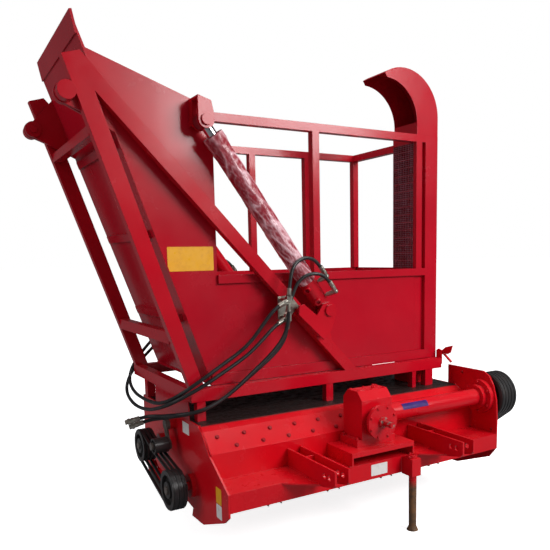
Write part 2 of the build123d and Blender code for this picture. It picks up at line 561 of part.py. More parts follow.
# ------------------------------------------------------------------ tipping cylinders
def cylinder_parts():
    lx, lz = cyl_low
    hx, hz = cyl_high
    dist = hypot(hx - lx, hz - lz)
    a = degrees(atan2(hz - lz, hx - lx))
    place = Pos(lx, cyl_y, lz) * Rot(0, -a, 0)
    barrel = rod_x(62, dist - 88, 0, 0, barrel_r)
    barrel += slab(0, 64, -eye_w / 2, eye_w / 2, -26, 26) + rod_y(0, 0, -eye_w / 2, eye_w / 2, eye_r)
    barrel += rod_x(dist - 120, dist - 88, 0, 0, barrel_r + 5)
    for t, angle, reach in ports:
        out = (0, -sin(radians(angle)), cos(radians(angle)))
        barrel += rod_from((t, 0, 0), out, port_face, port_r)
        barrel -= rod_from((t, out[1] * (port_face - 14), out[2] * (port_face - 14)), out, 20, port_bore_r)
    barrel -= rod_y(0, 0, -eye_w, eye_w, 20 + eye_fit)
    barrel -= rod_x(120, dist - 87, 0, 0, rod_r + 0.3)
    rod = rod_x(122, dist - 20, 0, 0, rod_r) + rod_y(dist, 0, -eye_w / 2, eye_w / 2, eye_r)
    return place * barrel, place * rod


barrel, rod = cylinder_parts()
nodes["front_cylinder_barrel"] = barrel
nodes["front_cylinder_rod"] = rod
nodes["rear_cylinder_barrel"] = mirror_y(barrel)
nodes["rear_cylinder_rod"] = mirror_y(rod)


# ------------------------------------------------------------------ hydraulic hoses and their fittings
lean_deg = degrees(atan2(cyl_high[1] - cyl_low[1], cyl_high[0] - cyl_low[0]))
barrel_hoses = ((1, ("lift_front_hose", "lower_front_hose")), (-1, ("lift_rear_hose", "lower_rear_hose")))


def into_port(side, angle):
    """Direction from outside a barrel into one of its ports; side is 1 at the front and -1 at the rear."""
    up = (sin(radians(lean_deg)) * cos(radians(angle)), -cos(radians(lean_deg)) * cos(radians(angle)))
    return Vector(-up[0], side * sin(radians(angle)), -up[1])


# the last points of each barrel hose keep their distance from the barrel's face
routes = {name: [Vector(*p) for p in line] for name, line in hose_routes.items()}
for side, names in barrel_hoses:
    for (t, angle, reach), name in zip(ports, names):
        away = into_port(side, angle) * (routed_barrel_r - barrel_r)
        routes[name][-4:] = [p + away for p in routes[name][-4:]]


def hose(name):
    """Tube along straight runs joined by tangent arcs as large as the runs allow."""
    points = routes[name]
    runs = [b - a for a, b in zip(points, points[1:])]
    pairs = list(zip(runs, runs[1:]))
    radii = [0.45 * min(a.length, b.length) / tan(radians(a.get_angle(b)) / 2) for a, b in pairs]
    path = FilletPolyline(*points, radius=radii)
    print(name, "length", round(path.length), "radii", [round(r) for r in radii])
    return sweep(Plane(origin=points[0], z_dir=runs[0]) * Circle(hose_r), path=path)


def stub(name, end, length, r):
    """Ferrule that carries on from a hose's end face, away from the hose."""
    tip, inner = routes[name][:: 1 if end == 0 else -1][:2]
    return rod_from(tip, tip - inner, length, r)


for name in hose_routes:
    nodes[name] = hose(name)

# both tees stand on one plate that lies on the front diagonal
tee_plate = [(518, 1164), (518, 1290), (600, 1293), (655, 1228), (600, 1182), (570, 1164)]
tees = along(tee_plate, frame_y - 6, frame_y)
for (x, y, z), ends in ((upper_tee, ("lift_front_hose", "lift_rear_hose", "lift_feed_hose")),
                        (lower_tee, ("lower_front_hose", "lower_rear_hose", "lower_feed_hose"))):
    tees += Pos(x, y, z) * Box(*tee_block) + rod_y(x, z, y, frame_y - 6, 9)
    for name in ends:
        tees += stub(name, 0, 24, ferrule_r)
nodes["hose_tees"] = tees

# elbows turn each hose into its port on the barrel
elbows = None
for side, names in barrel_hoses:
    for (t, angle, reach), name in zip(ports, names):
        inward = into_port(side, angle)
        tip, inner = routes[name][::-1][:2]
        corner = tip + (tip - inner).normalized() * elbow_arm
        e = stub(name, 1, elbow_arm, elbow_r) + Pos(*corner) * Sphere(elbow_r + 2)
        e += rod_from(corner, inward, reach - port_face - 0.6, elbow_r)
        e += rod_from(corner, inward, reach - port_face + 11, nose_r)
        elbows = e if elbows is None else elbows + e
nodes["hose_elbows"] = elbows

couplers = None
for name in ("lift_feed_hose", "lower_feed_hose"):
    c = stub(name, 1, coupler_len, ferrule_r)
    tip, inner = routes[name][::-1][:2]
    c += rod_from(tip + (tip - inner).normalized() * 18, tip - inner, 14, ferrule_r + 4)
    couplers = c if couplers is None else couplers + c
nodes["hose_couplers"] = couplers

# ------------------------------------------------------------------ latch of the bin on the base frame
latch = across([(418, 790), (466, 790), (466, 876), (446, 888), (420, 878)], frame_w, frame_w + 8)
latch += rod_x(frame_w, latch_x + 14, latch_y, latch_z, 9)
latch += rod_x(latch_x - 10, latch_x + 10, latch_y, latch_z, 15)
latch_claw = [(438, 874), (405, 900), (343, 917), (360, 869), (386, 856), (430, 853)]
latch += across(latch_claw, latch_x - 3, latch_x + 3)
latch += rod_from((latch_x, latch_y, latch_z), (0, -78, -54), 96, 8)
nodes["bin_latch"] = latch

# ------------------------------------------------------------------ bin
sill = slab(wall_low[0] + 8, bin_right, bin_y0, bin_y0 + tube, bin_bottom, sill_top)
sill += slab(wall_low[0] + 8, bin_right, bin_y1 - tube, bin_y1, bin_bottom, sill_top)
sill += slab(bin_right - tube, bin_right, bin_y0 + tube, bin_y1 - tube, bin_bottom, sill_top)
nodes["bin_sill"] = sill

wall = along(strip([wall_low, wall_high, lip], -bin_sheet), bin_y0, bin_y1)
wall += along(strip([wall_high, lip], lip_band_t), bin_y0, bin_y1)
# stiffening ribs across the outside of the wall: column is the height on the wall
wu = (wall_high[0] - wall_low[0], wall_high[1] - wall_low[1])
for z in (1180, 1610, 2040):
    t0, t1 = (z - wall_low[1]) / wu[1], (z + 40 - wall_low[1]) / wu[1]
    p0 = (wall_low[0] + wu[0] * t0, wall_low[1] + wu[1] * t0)
    p1 = (wall_low[0] + wu[0] * t1, wall_low[1] + wu[1] * t1)
    wall += along(strip([p0, p1], 18), bin_y0 + 60, bin_y1 - 60)
nodes["bin_left_wall"] = wall

panel_y = bin_y0 + lug_t
panel_line = [(wall_low[0], wall_low[1]), wall_high, lip, panel_corner, (panel_edge_x, top_rail_z + 64),
              (panel_edge_x, waist_z + tube), (duct_left, waist_z + tube), (duct_left, wall_low[1])]
panel = along(panel_line, panel_y, panel_y + bin_sheet) - wall - sill
nodes["bin_front_panel"] = panel
nodes["bin_rear_panel"] = mirror_y(along(
    panel_line[:6] + [(bin_right - bin_sheet, waist_z + tube), (bin_right - bin_sheet, wall_low[1])],
    panel_y, panel_y + bin_sheet) - wall - sill)

# bottom frame rails, waist rails, top rails and posts: x0, x1, y0, y1, z0, z1
r0, r1 = bin_y0, bin_y1
cage_bars = [
    (panel_edge_x, duct_left, r0, r0 + lug_t, waist_z, waist_z + tube),
    (panel_edge_x, bin_right, r1 - lug_t, r1, waist_z, waist_z + tube),
    (panel_edge_x, duct_left, r0, r0 + tube, top_rail_z, top_rail_z + tube),
    (panel_edge_x, bin_right, r1 - tube, r1, top_rail_z, top_rail_z + tube),
    (bin_right - tube, bin_right, duct_y1, r1 - tube, top_rail_z, top_rail_z + tube),
    (front_post_x, front_post_x + tube, r0, r0 + tube, waist_z + tube, top_rail_z),
    (bin_right - tube, bin_right, r1 - tube, r1, waist_z + tube, top_rail_z),
]
cage_bars += [(x, x + tube, r1 - tube, r1, waist_z + tube, top_rail_z) for x in rear_posts]
cage = None
for c in cage_bars:
    b = slab(*c)
    cage = b if cage is None else cage + b
nodes["bin_cage"] = cage

floor = slab(wall_low[0], bin_right, r0, r1, bin_bottom, wall_low[1])
floor -= slab(chute_x0, chute_x1, chute_y0, chute_y1, bin_bottom - 1, wall_low[1] + 1)
nodes["bin_floor"] = floor - sill
right_wall = slab(bin_right - bin_sheet, bin_right, duct_y1, r1 - lug_t, sill_top, waist_z + tube)
nodes["bin_right_wall"] = right_wall

# crop duct up the right front corner: front posts, recessed strip, back and right walls, lower left wall
duct_top = top_rail_z + tube
duct = slab(outer_post_x, bin_right, r0, r0 + duct_post_t, sill_top, duct_top)
duct += slab(duct_left, duct_left + inner_post_w, r0, r0 + duct_post_t, waist_z + tube, top_rail_z)
for z in (waist_z, top_rail_z):
    duct += slab(duct_left, outer_post_x, r0, r0 + duct_post_t, z, z + tube)
inner_y0, inner_y1 = r0 + duct_post_t + duct_sheet, duct_y1 - duct_sheet
duct += slab(duct_left, bin_right, r0 + duct_post_t, inner_y0, wall_low[1], duct_top)
duct += slab(bin_right - duct_sheet, bin_right, inner_y0, inner_y1, wall_low[1], duct_top)
duct += slab(duct_left, bin_right, inner_y1, duct_y1, wall_low[1], duct_top)
duct += slab(duct_left, duct_left + duct_sheet, inner_y0, inner_y1, wall_low[1], waist_z + tube)
duct += slab(duct_left, duct_left + duct_sheet, inner_y0, inner_y1, top_rail_z, duct_top)
nodes["crop_duct"] = duct - sill

# perforated screen that closes the duct towards the bin above the waist
screen = slab(duct_left, duct_left + duct_sheet, inner_y0, inner_y1, waist_z + tube, top_rail_z)
cell_y = (inner_y1 - inner_y0) / screen_columns
cell_z = (top_rail_z - waist_z - tube) / screen_rows
for i in range(screen_columns):
    for k in range(screen_rows):
        y, z = inner_y0 + i * cell_y, waist_z + tube + k * cell_z
        y0, y1 = y + screen_bar / 2, y + cell_y - screen_bar / 2
        z0, z1 = z + screen_bar / 2, z + cell_z - screen_bar / 2
        screen -= slab(duct_left - 1, duct_left + duct_sheet + 1, y0, y1, z0, z1)
nodes["duct_screen"] = screen

# spout hood: a rolled top sheet between two crescent cheeks, open below and at its mouth
a0 = radians(spout_mouth_deg)
mouth = (spout_cx + spout_r * cos(a0), spout_cz + spout_r * sin(a0))
ya, yb = spout_y0 - 1, spout_y1 + 1
past_mouth = [(spout_cx, spout_cz), (2 * mouth[0] - spout_cx, 2 * mouth[1] - spout_cz),
              (mouth[0] - 400, mouth[1] + 200), (mouth[0] - 400, spout_cz - 300), (spout_cx, spout_cz - 300)]
rolled = rod_y(spout_cx, spout_cz, spout_y0, spout_y1, spout_r) - \
    rod_y(spout_cx, spout_cz, ya, yb, spout_r - spout_sheet) - \
    slab(spout_cx - 400, spout_cx + 400, ya, yb, spout_cz - 400, spout_cz) - along(past_mouth, ya, yb)
rolled += slab(bin_right, spout_cx + spout_r, spout_y0, spout_y1, spout_low, spout_cz)
cheek = rod_y(spout_cx, spout_cz, spout_y0, spout_y1, spout_r - spout_sheet)
cheek += slab(spout_cx, bin_right, spout_y0, spout_y1, duct_top, spout_cz)
cheek -= slab(spout_cx - 400, spout_cx + 400, ya, yb, spout_cz - 400, duct_top)
cheek -= along(past_mouth, ya, yb)
cheek -= rod_y(crescent_cx, crescent_cz, ya, yb, crescent_r)
cheek -= slab(spout_cx - 400, crescent_cx + crescent_r, ya, yb, spout_cz - 400, crescent_cz)
cheek -= slab(spout_cx - 400, spout_cx + 400, spout_y0 + spout_sheet, spout_y1 - spout_sheet, spout_cz - 400,
              spout_cz + 400)
crescent_x = crescent_cx + crescent_r
neck_wall = slab(crescent_x, crescent_x + spout_sheet, spout_y0, spout_y1, duct_top,
                 crescent_cz + 6)
nodes["spout_hood"] = rolled + cheek + neck_wall


# hinge lugs and the upper cylinder brackets of the bin
def bin_lug():
    y0, y1 = bin_y0, bin_y0 + lug_t
    slope = (wall_high[0] - wall_low[0]) / (wall_high[1] - wall_low[1])
    top, low = [(wall_low[0] + slope * (z - wall_low[1]), z) for z in (pivot_z + 170, pivot_z - 150)]
    lug = along([(pivot_x, pivot_z + 44), top, low, (pivot_x, pivot_z - 44)], y0, y1)
    lug += rod_y(pivot_x, pivot_z, y0, y1 + 8, 44)
    lug -= rod_y(pivot_x, pivot_z, y0 - 1, y1 + 20, pivot_r + shaft_fit)
    return lug


def top_bracket():
    hx, hz = cyl_high
    ya, yb = cyl_y - cheek_gap / 2, cyl_y + cheek_gap / 2
    body = None
    for y0, y1 in ((ya - cheek_t, ya), (yb, yb + cheek_t)):
        c = along([(hx - 42, hz), (hx - 42, hz + 113), (hx + 28, hz + 92), (hx + 42, hz + 30),
                   (hx + 42, hz)], y0, y1)
        c += rod_y(hx, hz, y0, y1, 42)
        body = c if body is None else body + c
    roof_left, roof_right = (hx - 42, hz + 103), (hx + 27, hz + 83)
    body += along([(hx - 42, hz + 113), roof_left, roof_right, (hx + 28, hz + 92)], ya, panel_y)
    body += along([roof_left, (hx - 42, hz - 20), (hx + 42, hz - 20), (hx + 42, hz + 30), roof_right],
                  yb + cheek_t, panel_y)
    body += rod_y(hx, hz, ya - cheek_t - 12, ya - cheek_t, 28)
    return body


front_lug = bin_lug()
nodes["bin_hinge_lugs"] = front_lug + mirror_y(front_lug)
upper = top_bracket()
nodes["upper_cylinder_brackets"] = upper + mirror_y(upper)

# ------------------------------------------------------------------ export, centred over the ground
origin_x = ((pivot_x - 46) + shaft_end) / 2
origin_y = (hitch_front + (2 * mid_y - (cyl_y - cheek_gap / 2 - cheek_t - 12))) / 2
if __name__ == "__main__":
    os.makedirs("parts", exist_ok=True)
    for name, shape in nodes.items():
        export_step(Pos(-origin_x, -origin_y, 0) * shape, f"parts/{name}.step")
    print(len(nodes), "nodes, origin at", origin_x, origin_y)
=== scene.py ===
import math

import bmesh
import bpy
from mathutils import Matrix, Vector, noise
from mathutils.bvhtree import BVHTree


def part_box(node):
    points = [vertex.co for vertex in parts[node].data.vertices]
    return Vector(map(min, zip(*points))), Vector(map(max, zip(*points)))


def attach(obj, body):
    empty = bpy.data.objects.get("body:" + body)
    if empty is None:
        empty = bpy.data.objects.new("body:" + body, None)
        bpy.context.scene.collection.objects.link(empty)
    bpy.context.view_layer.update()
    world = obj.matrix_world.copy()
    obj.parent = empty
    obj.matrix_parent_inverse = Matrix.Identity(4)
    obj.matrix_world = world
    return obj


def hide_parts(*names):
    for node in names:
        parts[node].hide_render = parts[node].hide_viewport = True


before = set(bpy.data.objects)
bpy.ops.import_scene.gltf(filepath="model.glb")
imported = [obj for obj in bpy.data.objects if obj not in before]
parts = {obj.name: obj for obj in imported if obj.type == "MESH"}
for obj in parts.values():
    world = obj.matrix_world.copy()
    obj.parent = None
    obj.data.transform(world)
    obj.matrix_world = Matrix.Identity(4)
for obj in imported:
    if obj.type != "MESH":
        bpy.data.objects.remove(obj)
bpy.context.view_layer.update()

# ------------------------------------------------------------------ studio
# A plain pale floor in a bright, soft surround with three wide light panels.
# The eye stands off the front left corner of the header, level with the bin.
scene = bpy.context.scene
scene.view_settings.view_transform = "Standard"

eye_place = Vector((-1.835, -3.168, 1.5055))
eye_turn, eye_tilt, eye_lean = math.radians(30.5), math.radians(-7.1), math.radians(-1.1)
ahead = Vector((math.sin(eye_turn) * math.cos(eye_tilt), math.cos(eye_turn) * math.cos(eye_tilt),
                math.sin(eye_tilt)))
level = Vector((math.cos(eye_turn), -math.sin(eye_turn), 0))
upright = level.cross(ahead)
eye_x = level * math.cos(eye_lean) + upright * math.sin(eye_lean)
eye_y = upright * math.cos(eye_lean) - level * math.sin(eye_lean)
eye = bpy.data.objects.new("eye", bpy.data.cameras.new("eye"))
eye.data.lens, eye.data.sensor_width = 40.723, 36
eye.data.shift_x, eye.data.shift_y = -0.0303, 0.1073
eye.matrix_world = Matrix.Translation(eye_place) @ Matrix((eye_x, eye_y, -ahead)).transposed().to_4x4()
scene.collection.objects.link(eye)
scene.camera = eye


def add_node(tree, kind, **values):
    """Adds a shader node and sets its properties, or its inputs by their names."""
    made = tree.nodes.new(kind)
    for key, value in values.items():
        if hasattr(made, key):
            setattr(made, key, value)
        else:
            made.inputs[key.replace("_", " ")].default_value = value
    return made


def new_material(name):
    """A material with an empty Principled surface: gives the material, its tree and its shader."""
    made = bpy.data.materials.new(name)
    made.use_nodes = True
    return made, made.node_tree, made.node_tree.nodes["Principled BSDF"]


def light_panel(name, place, aim, width, height, watts):
    panel = bpy.data.objects.new(name, bpy.data.lights.new(name, "AREA"))
    panel.data.shape, panel.data.energy = "RECTANGLE", watts
    panel.data.size, panel.data.size_y = width, height
    panel.location = place
    panel.rotation_euler = (Vector(aim) - Vector(place)).to_track_quat("-Z", "Y").to_euler()
    scene.collection.objects.link(panel)


light_panel("key_panel", (2.4, -4.8, 3.9), (0.2, 0, 0.9), 3.0, 2.2, 290)
light_panel("top_panel", (0.6, 0.2, 5.2), (0.2, 0.1, 1.0), 3.6, 3.6, 120)
light_panel("left_panel", (-4.8, 0.6, 2.6), (-0.6, 0.1, 1.0), 2.0, 2.6, 40)

world = bpy.data.worlds.new("surround")
scene.world = world
world.use_nodes = True
sky = world.node_tree
seen = add_node(sky, "ShaderNodeLightPath")
soft = add_node(sky, "ShaderNodeBackground", Color=(0.95, 0.97, 1.0, 1), Strength=0.38)
mirrored = add_node(sky, "ShaderNodeBackground", Color=(0.9, 0.95, 1.0, 1), Strength=0.09)
bright = add_node(sky, "ShaderNodeBackground", Color=(1, 1, 1, 1), Strength=1.0)
inner, outer = add_node(sky, "ShaderNodeMixShader"), add_node(sky, "ShaderNodeMixShader")
for mix, ray, first, second in ((inner, "Is Glossy Ray", soft, mirrored),
                                (outer, "Is Camera Ray", inner, bright)):
    sky.links.new(seen.outputs[ray], mix.inputs[0])
    sky.links.new(first.outputs[0], mix.inputs[1])
    sky.links.new(second.outputs[0], mix.inputs[2])
sky.links.new(outer.outputs[0], sky.nodes["World Output"].inputs[0])

floor_shape = bmesh.new()
bmesh.ops.create_grid(floor_shape, x_segments=1, y_segments=1, size=120)
floor_mesh = bpy.data.meshes.new("floor")
floor_shape.to_mesh(floor_mesh)
floor = bpy.data.objects.new("floor", floor_mesh)
scene.collection.objects.link(floor)
floor_finish, tree, shader = new_material("pale_floor")
shader.inputs["Roughness"].default_value = 0.8
shader.inputs["Emission Color"].default_value = (1, 1, 1, 1)
shader.inputs["Emission Strength"].default_value = 0.80
cloud = add_node(tree, "ShaderNodeTexNoise", Scale=0.6)
tint = add_node(tree, "ShaderNodeMix", data_type="RGBA")
tint.inputs[6].default_value, tint.inputs[7].default_value = (0.90, 0.90, 0.90, 1), (0.94, 0.94, 0.94, 1)
tree.links.new(cloud.outputs["Fac"], tint.inputs[0])
tree.links.new(tint.outputs[2], shader.inputs["Base Color"])
seen = add_node(tree, "ShaderNodeLightPath")
bounced = add_node(tree, "ShaderNodeBsdfDiffuse", Color=(0.26, 0.26, 0.27, 1))
mix = add_node(tree, "ShaderNodeMixShader")
tree.links.new(seen.outputs["Is Camera Ray"], mix.inputs[0])
tree.links.new(bounced.outputs[0], mix.inputs[1])
tree.links.new(shader.outputs[0], mix.inputs[2])
tree.links.new(mix.outputs[0], tree.nodes["Material Output"].inputs[0])
floor_mesh.materials.append(floor_finish)

# ------------------------------------------------------------------ hydraulic hoses
# Six black rubber hoses of 20 mm: two feed hoses from the tractor end in quick couplers at the left,
# and from two tees on the front diagonal a pair runs to each tipping cylinder. Ends are crimped in steel.

def effect_group(name, takes, gives):
    """An empty node group with its named sockets: gives the tree, its inputs and its outputs."""
    tree = bpy.data.node_groups.new(name, "ShaderNodeTree")
    for label, kind in takes:
        tree.interface.new_socket(label, in_out="INPUT", socket_type=kind)
    for label, kind in gives:
        tree.interface.new_socket(label, in_out="OUTPUT", socket_type=kind)
    return tree, tree.nodes.new("NodeGroupInput").outputs, tree.nodes.new("NodeGroupOutput").inputs


def blend(tree, mask, first, second, how="MIX"):
    """Mixes two colours by a mask; each may be a socket or a fixed colour."""
    mix = add_node(tree, "ShaderNodeMix", data_type="RGBA", blend_type=how)
    for socket, value in ((mix.inputs[0], mask), (mix.inputs[6], first), (mix.inputs[7], second)):
        if hasattr(value, "is_linked"):
            tree.links.new(value, socket)
        else:
            socket.default_value = value
    return mix.outputs[2]


def cloudy(tree, place, scale, low, high, to_low=0.0, to_high=1.0, detail=5.0):
    """A mask of soft patches: noise of the given scale, stretched between two values."""
    cloud = add_node(tree, "ShaderNodeTexNoise", Scale=scale, Detail=detail, Roughness=0.6)
    tree.links.new(place, cloud.inputs["Vector"])
    span = add_node(tree, "ShaderNodeMapRange")
    for label, value in (("From Min", low), ("From Max", high), ("To Min", to_low), ("To Max", to_high)):
        span.inputs[label].default_value = value
    tree.links.new(cloud.outputs["Fac"], span.inputs["Value"])
    return span.outputs[0]


def bumped(tree, height, strength, distance, under=None):
    bump = add_node(tree, "ShaderNodeBump", Distance=distance)
    bump.inputs["Strength"].default_value = strength
    tree.links.new(height, bump.inputs["Height"])
    if under is not None:
        tree.links.new(under, bump.inputs["Normal"])
    return bump.outputs[0]


def noise_height(tree, place, scale, detail=3.0):
    cloud = add_node(tree, "ShaderNodeTexNoise", Scale=scale, Detail=detail)
    tree.links.new(place, cloud.inputs["Vector"])
    return cloud.outputs["Fac"]


iron, takes, gives = effect_group(
    "weathered_iron",
    [("Metal", "NodeSocketColor"), ("Rust", "NodeSocketColor"), ("Rust Amount", "NodeSocketFloat"),
     ("Patch Scale", "NodeSocketFloat")],
    [("Colour", "NodeSocketColor"), ("Roughness", "NodeSocketFloat"), ("Bare", "NodeSocketFloat"),
     ("Normal", "NodeSocketVector")])
place = add_node(iron, "ShaderNodeTexCoord").outputs["Object"]
patch = add_node(iron, "ShaderNodeTexNoise", Detail=9.0, Roughness=0.7)
iron.links.new(place, patch.inputs["Vector"])
iron.links.new(takes["Patch Scale"], patch.inputs["Scale"])
raised = add_node(iron, "ShaderNodeMath", operation="ADD")
iron.links.new(patch.outputs["Fac"], raised.inputs[0])
iron.links.new(takes["Rust Amount"], raised.inputs[1])
rusty = add_node(iron, "ShaderNodeMapRange")
for label, value in (("From Min", 0.95), ("From Max", 1.15), ("To Min", 0.0), ("To Max", 1.0)):
    rusty.inputs[label].default_value = value
iron.links.new(raised.outputs[0], rusty.inputs["Value"])
grimy = blend(iron, cloudy(iron, place, 11.0, 0.4, 0.7, 0.0, 0.5), takes["Metal"], (0.02, 0.018, 0.016, 1))
iron.links.new(blend(iron, rusty.outputs[0], grimy, takes["Rust"]), gives["Colour"])
rough = add_node(iron, "ShaderNodeMapRange")
for label, value in (("To Min", 0.34), ("To Max", 0.85)):
    rough.inputs[label].default_value = value
iron.links.new(rusty.outputs[0], rough.inputs["Value"])
iron.links.new(rough.outputs[0], gives["Roughness"])
bare = add_node(iron, "ShaderNodeMath", operation="SUBTRACT")
bare.inputs[0].default_value = 1.0
iron.links.new(rusty.outputs[0], bare.inputs[1])
iron.links.new(bare.outputs[0], gives["Bare"])
rounded = add_node(iron, "ShaderNodeBevel", samples=3, Radius=0.0015)
iron.links.new(bumped(iron, patch.outputs["Fac"], 0.35, 0.001, rounded.outputs[0]), gives["Normal"])

moulded, takes, gives = effect_group(
    "moulded_rubber",
    [("Rubber", "NodeSocketColor"), ("Bloom", "NodeSocketColor"), ("Bloom Amount", "NodeSocketFloat")],
    [("Colour", "NodeSocketColor"), ("Roughness", "NodeSocketFloat"), ("Normal", "NodeSocketVector")])
place = add_node(moulded, "ShaderNodeTexCoord").outputs["Object"]
veil = add_node(moulded, "ShaderNodeMath", operation="MULTIPLY")
moulded.links.new(cloudy(moulded, place, 9.0, 0.4, 0.75), veil.inputs[0])
moulded.links.new(takes["Bloom Amount"], veil.inputs[1])
moulded.links.new(blend(moulded, veil.outputs[0], takes["Rubber"], takes["Bloom"]), gives["Colour"])
moulded.links.new(cloudy(moulded, place, 20.0, 0.3, 0.7, 0.30, 0.52), gives["Roughness"])
moulded.links.new(bumped(moulded, noise_height(moulded, place, 420.0), 0.3, 0.0006), gives["Normal"])


def finish_from(name, group, values, outputs, **fixed):
    """A material fed by one effect group; fixed values go on the shader's own sockets."""
    made, tree, shader = new_material(name)
    effect = add_node(tree, "ShaderNodeGroup", node_tree=group)
    for label, value in values.items():
        effect.inputs[label].default_value = value
    for output, socket in outputs.items():
        tree.links.new(effect.outputs[output], shader.inputs[socket])
    for label, value in fixed.items():
        shader.inputs[label.replace("_", " ")].default_value = value
    return made




coat_links = {"Colour": "Base Color", "Roughness": "Roughness", "Normal": "Normal"}
iron_links = {**coat_links, "Bare": "Metallic"}


def dress(material, *names):
    """Gives CAD parts their finish."""
    for name in names:
        for slot in parts[name].material_slots:
            slot.material = material


def stand(way):
    """The turn that brings upright to a direction."""
    return Vector(way).to_track_quat("Z", "Y").to_matrix().to_4x4()


def add_post(shape, foot, way, radius, height, sides=24, taper=1.0):
    """Adds a round or many-sided post that stands on its foot and points along a way."""
    middle = Vector(foot) + Vector(way).normalized() * height / 2
    return bmesh.ops.create_cone(shape, cap_ends=True, segments=sides, radius1=radius, radius2=radius * taper,
                                 depth=height, matrix=Matrix.Translation(middle) @ stand(way))["verts"]


def make_piece(name, shape, body, material, crease=35):
    """Turns a finished bmesh into a named piece that rides on a body."""
    mesh = bpy.data.meshes.new(name)
    bmesh.ops.recalc_face_normals(shape, faces=shape.faces)
    shape.to_mesh(mesh)
    shape.free()
    mesh.materials.append(material)
    mesh.polygons.foreach_set("use_smooth", [True] * len(mesh.polygons))
    mesh.set_sharp_from_angle(angle=math.radians(crease))
    made = bpy.data.objects.new(name, mesh)
    scene.collection.objects.link(made)
    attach(made, body)
    return made


hose_width = 0.020
# name of the hose: its length, how it ends, and its route from the tee
hoses = {
    "lift_front_hose": (0.403, "fitting", [
        (-0.1595, -0.3035, 1.3040), (-0.1445, -0.2985, 1.4200), (-0.1010, -0.2915, 1.4790),
        (-0.0315, -0.2815, 1.5020), (0.0378, -0.2762, 1.4792), (0.0807, -0.2762, 1.4201)]),
    "lower_front_hose": (0.425, "fitting", [
        (-0.1525, -0.2715, 1.2060), (-0.1145, -0.2755, 1.3280), (-0.0672, -0.2865, 1.3924),
        (0.0022, -0.3015, 1.4150), (0.0763, -0.3068, 1.3958), (0.1192, -0.3068, 1.3368)]),
    "lift_rear_hose": (2.970, "fitting", [
        (-0.1925, -0.3035, 1.2610), (-0.2425, -0.2995, 1.2380), (-0.3045, -0.2895, 1.1630),
        (-0.3765, -0.2785, 1.0700), (-0.4595, -0.2715, 1.0060), (-0.5455, -0.2695, 0.9600),
        (-0.6365, -0.2655, 0.9050), (-0.7195, -0.2465, 0.8520), (-0.7735, -0.1815, 0.8000),
        (-0.7895, -0.0615, 0.7550), (-0.7865, 0.0785, 0.7220), (-0.7825, 0.2385, 0.7050),
        (-0.7775, 0.3985, 0.6970), (-0.7705, 0.5385, 0.6990), (-0.7565, 0.6685, 0.7130),
        (-0.7345, 0.7785, 0.7420), (-0.6995, 0.8485, 0.7950), (-0.6495, 0.8685, 0.8580),
        (-0.5845, 0.8705, 0.9300), (-0.4995, 0.8685, 1.0120), (-0.4095, 0.8685, 1.1050),
        (-0.3195, 0.8685, 1.2080), (-0.2345, 0.8685, 1.3040), (-0.1595, 0.8685, 1.3980),
        (-0.1010, 0.8685, 1.4790), (-0.0315, 0.8682, 1.5020), (0.0378, 0.8682, 1.4792),
        (0.0807, 0.8682, 1.4201)]),
    "lower_rear_hose": (2.963, "fitting", [
        (-0.1815, -0.2715, 1.1640), (-0.2295, -0.2715, 1.1410), (-0.2995, -0.2735, 1.0790),
        (-0.3835, -0.2735, 1.0080), (-0.4645, -0.2715, 0.9600), (-0.5475, -0.2715, 0.9170),
        (-0.6445, -0.2675, 0.8640), (-0.7345, -0.2435, 0.8180), (-0.7985, -0.1815, 0.7720),
        (-0.8185, -0.0615, 0.7300), (-0.8225, 0.0785, 0.6920), (-0.8205, 0.2285, 0.6680),
        (-0.8145, 0.3785, 0.6550), (-0.8025, 0.5285, 0.6560), (-0.7845, 0.6685, 0.6710),
        (-0.7545, 0.7785, 0.7020), (-0.7125, 0.8485, 0.7500), (-0.6565, 0.8705, 0.8100),
        (-0.5845, 0.8725, 0.8800), (-0.4895, 0.8705, 0.9620), (-0.3945, 0.8705, 1.0580),
        (-0.3045, 0.8725, 1.1500), (-0.2195, 0.8765, 1.2400), (-0.1395, 0.8845, 1.3250),
        (-0.0672, 0.8925, 1.3924), (0.0022, 0.8988, 1.4150), (0.0763, 0.8988, 1.3958),
        (0.1192, 0.8988, 1.3368)]),
    "lift_feed_hose": (1.280, "connector", [
        (-0.1625, -0.3035, 1.2460), (-0.1645, -0.3035, 1.1700), (-0.1815, -0.2985, 1.0980),
        (-0.2265, -0.2915, 1.0320), (-0.2945, -0.2895, 0.9700), (-0.3765, -0.2895, 0.9100),
        (-0.4545, -0.2895, 0.8500), (-0.5345, -0.2885, 0.7970), (-0.6245, -0.2855, 0.7520),
        (-0.7095, -0.2695, 0.7310), (-0.7665, -0.2065, 0.7150), (-0.7865, -0.1115, 0.6950),
        (-0.7865, -0.0315, 0.6750), (-0.8025, 0.0435, 0.6620), (-0.8465, 0.0965, 0.6550),
        (-0.9095, 0.1135, 0.6400)]),
    "lower_feed_hose": (1.187, "connector", [
        (-0.1525, -0.2715, 1.1500), (-0.1605, -0.2695, 1.0900), (-0.1895, -0.2655, 1.0320),
        (-0.2445, -0.2635, 0.9780), (-0.3165, -0.2635, 0.9280), (-0.3945, -0.2635, 0.8760),
        (-0.4705, -0.2635, 0.8220), (-0.5485, -0.2625, 0.7760), (-0.6305, -0.2595, 0.7380),
        (-0.6925, -0.2395, 0.7220), (-0.7365, -0.1855, 0.7050), (-0.7585, -0.0965, 0.6820),
        (-0.7605, -0.0165, 0.6600), (-0.7785, 0.0635, 0.6400), (-0.8225, 0.1165, 0.6280),
        (-0.8825, 0.1355, 0.6080)]),
}
hose_cover = finish_from("hose_cover", moulded,
                         {"Rubber": (0.008, 0.008, 0.009, 1), "Bloom": (0.07, 0.06, 0.055, 1),
                          "Bloom Amount": 0.22}, coat_links)
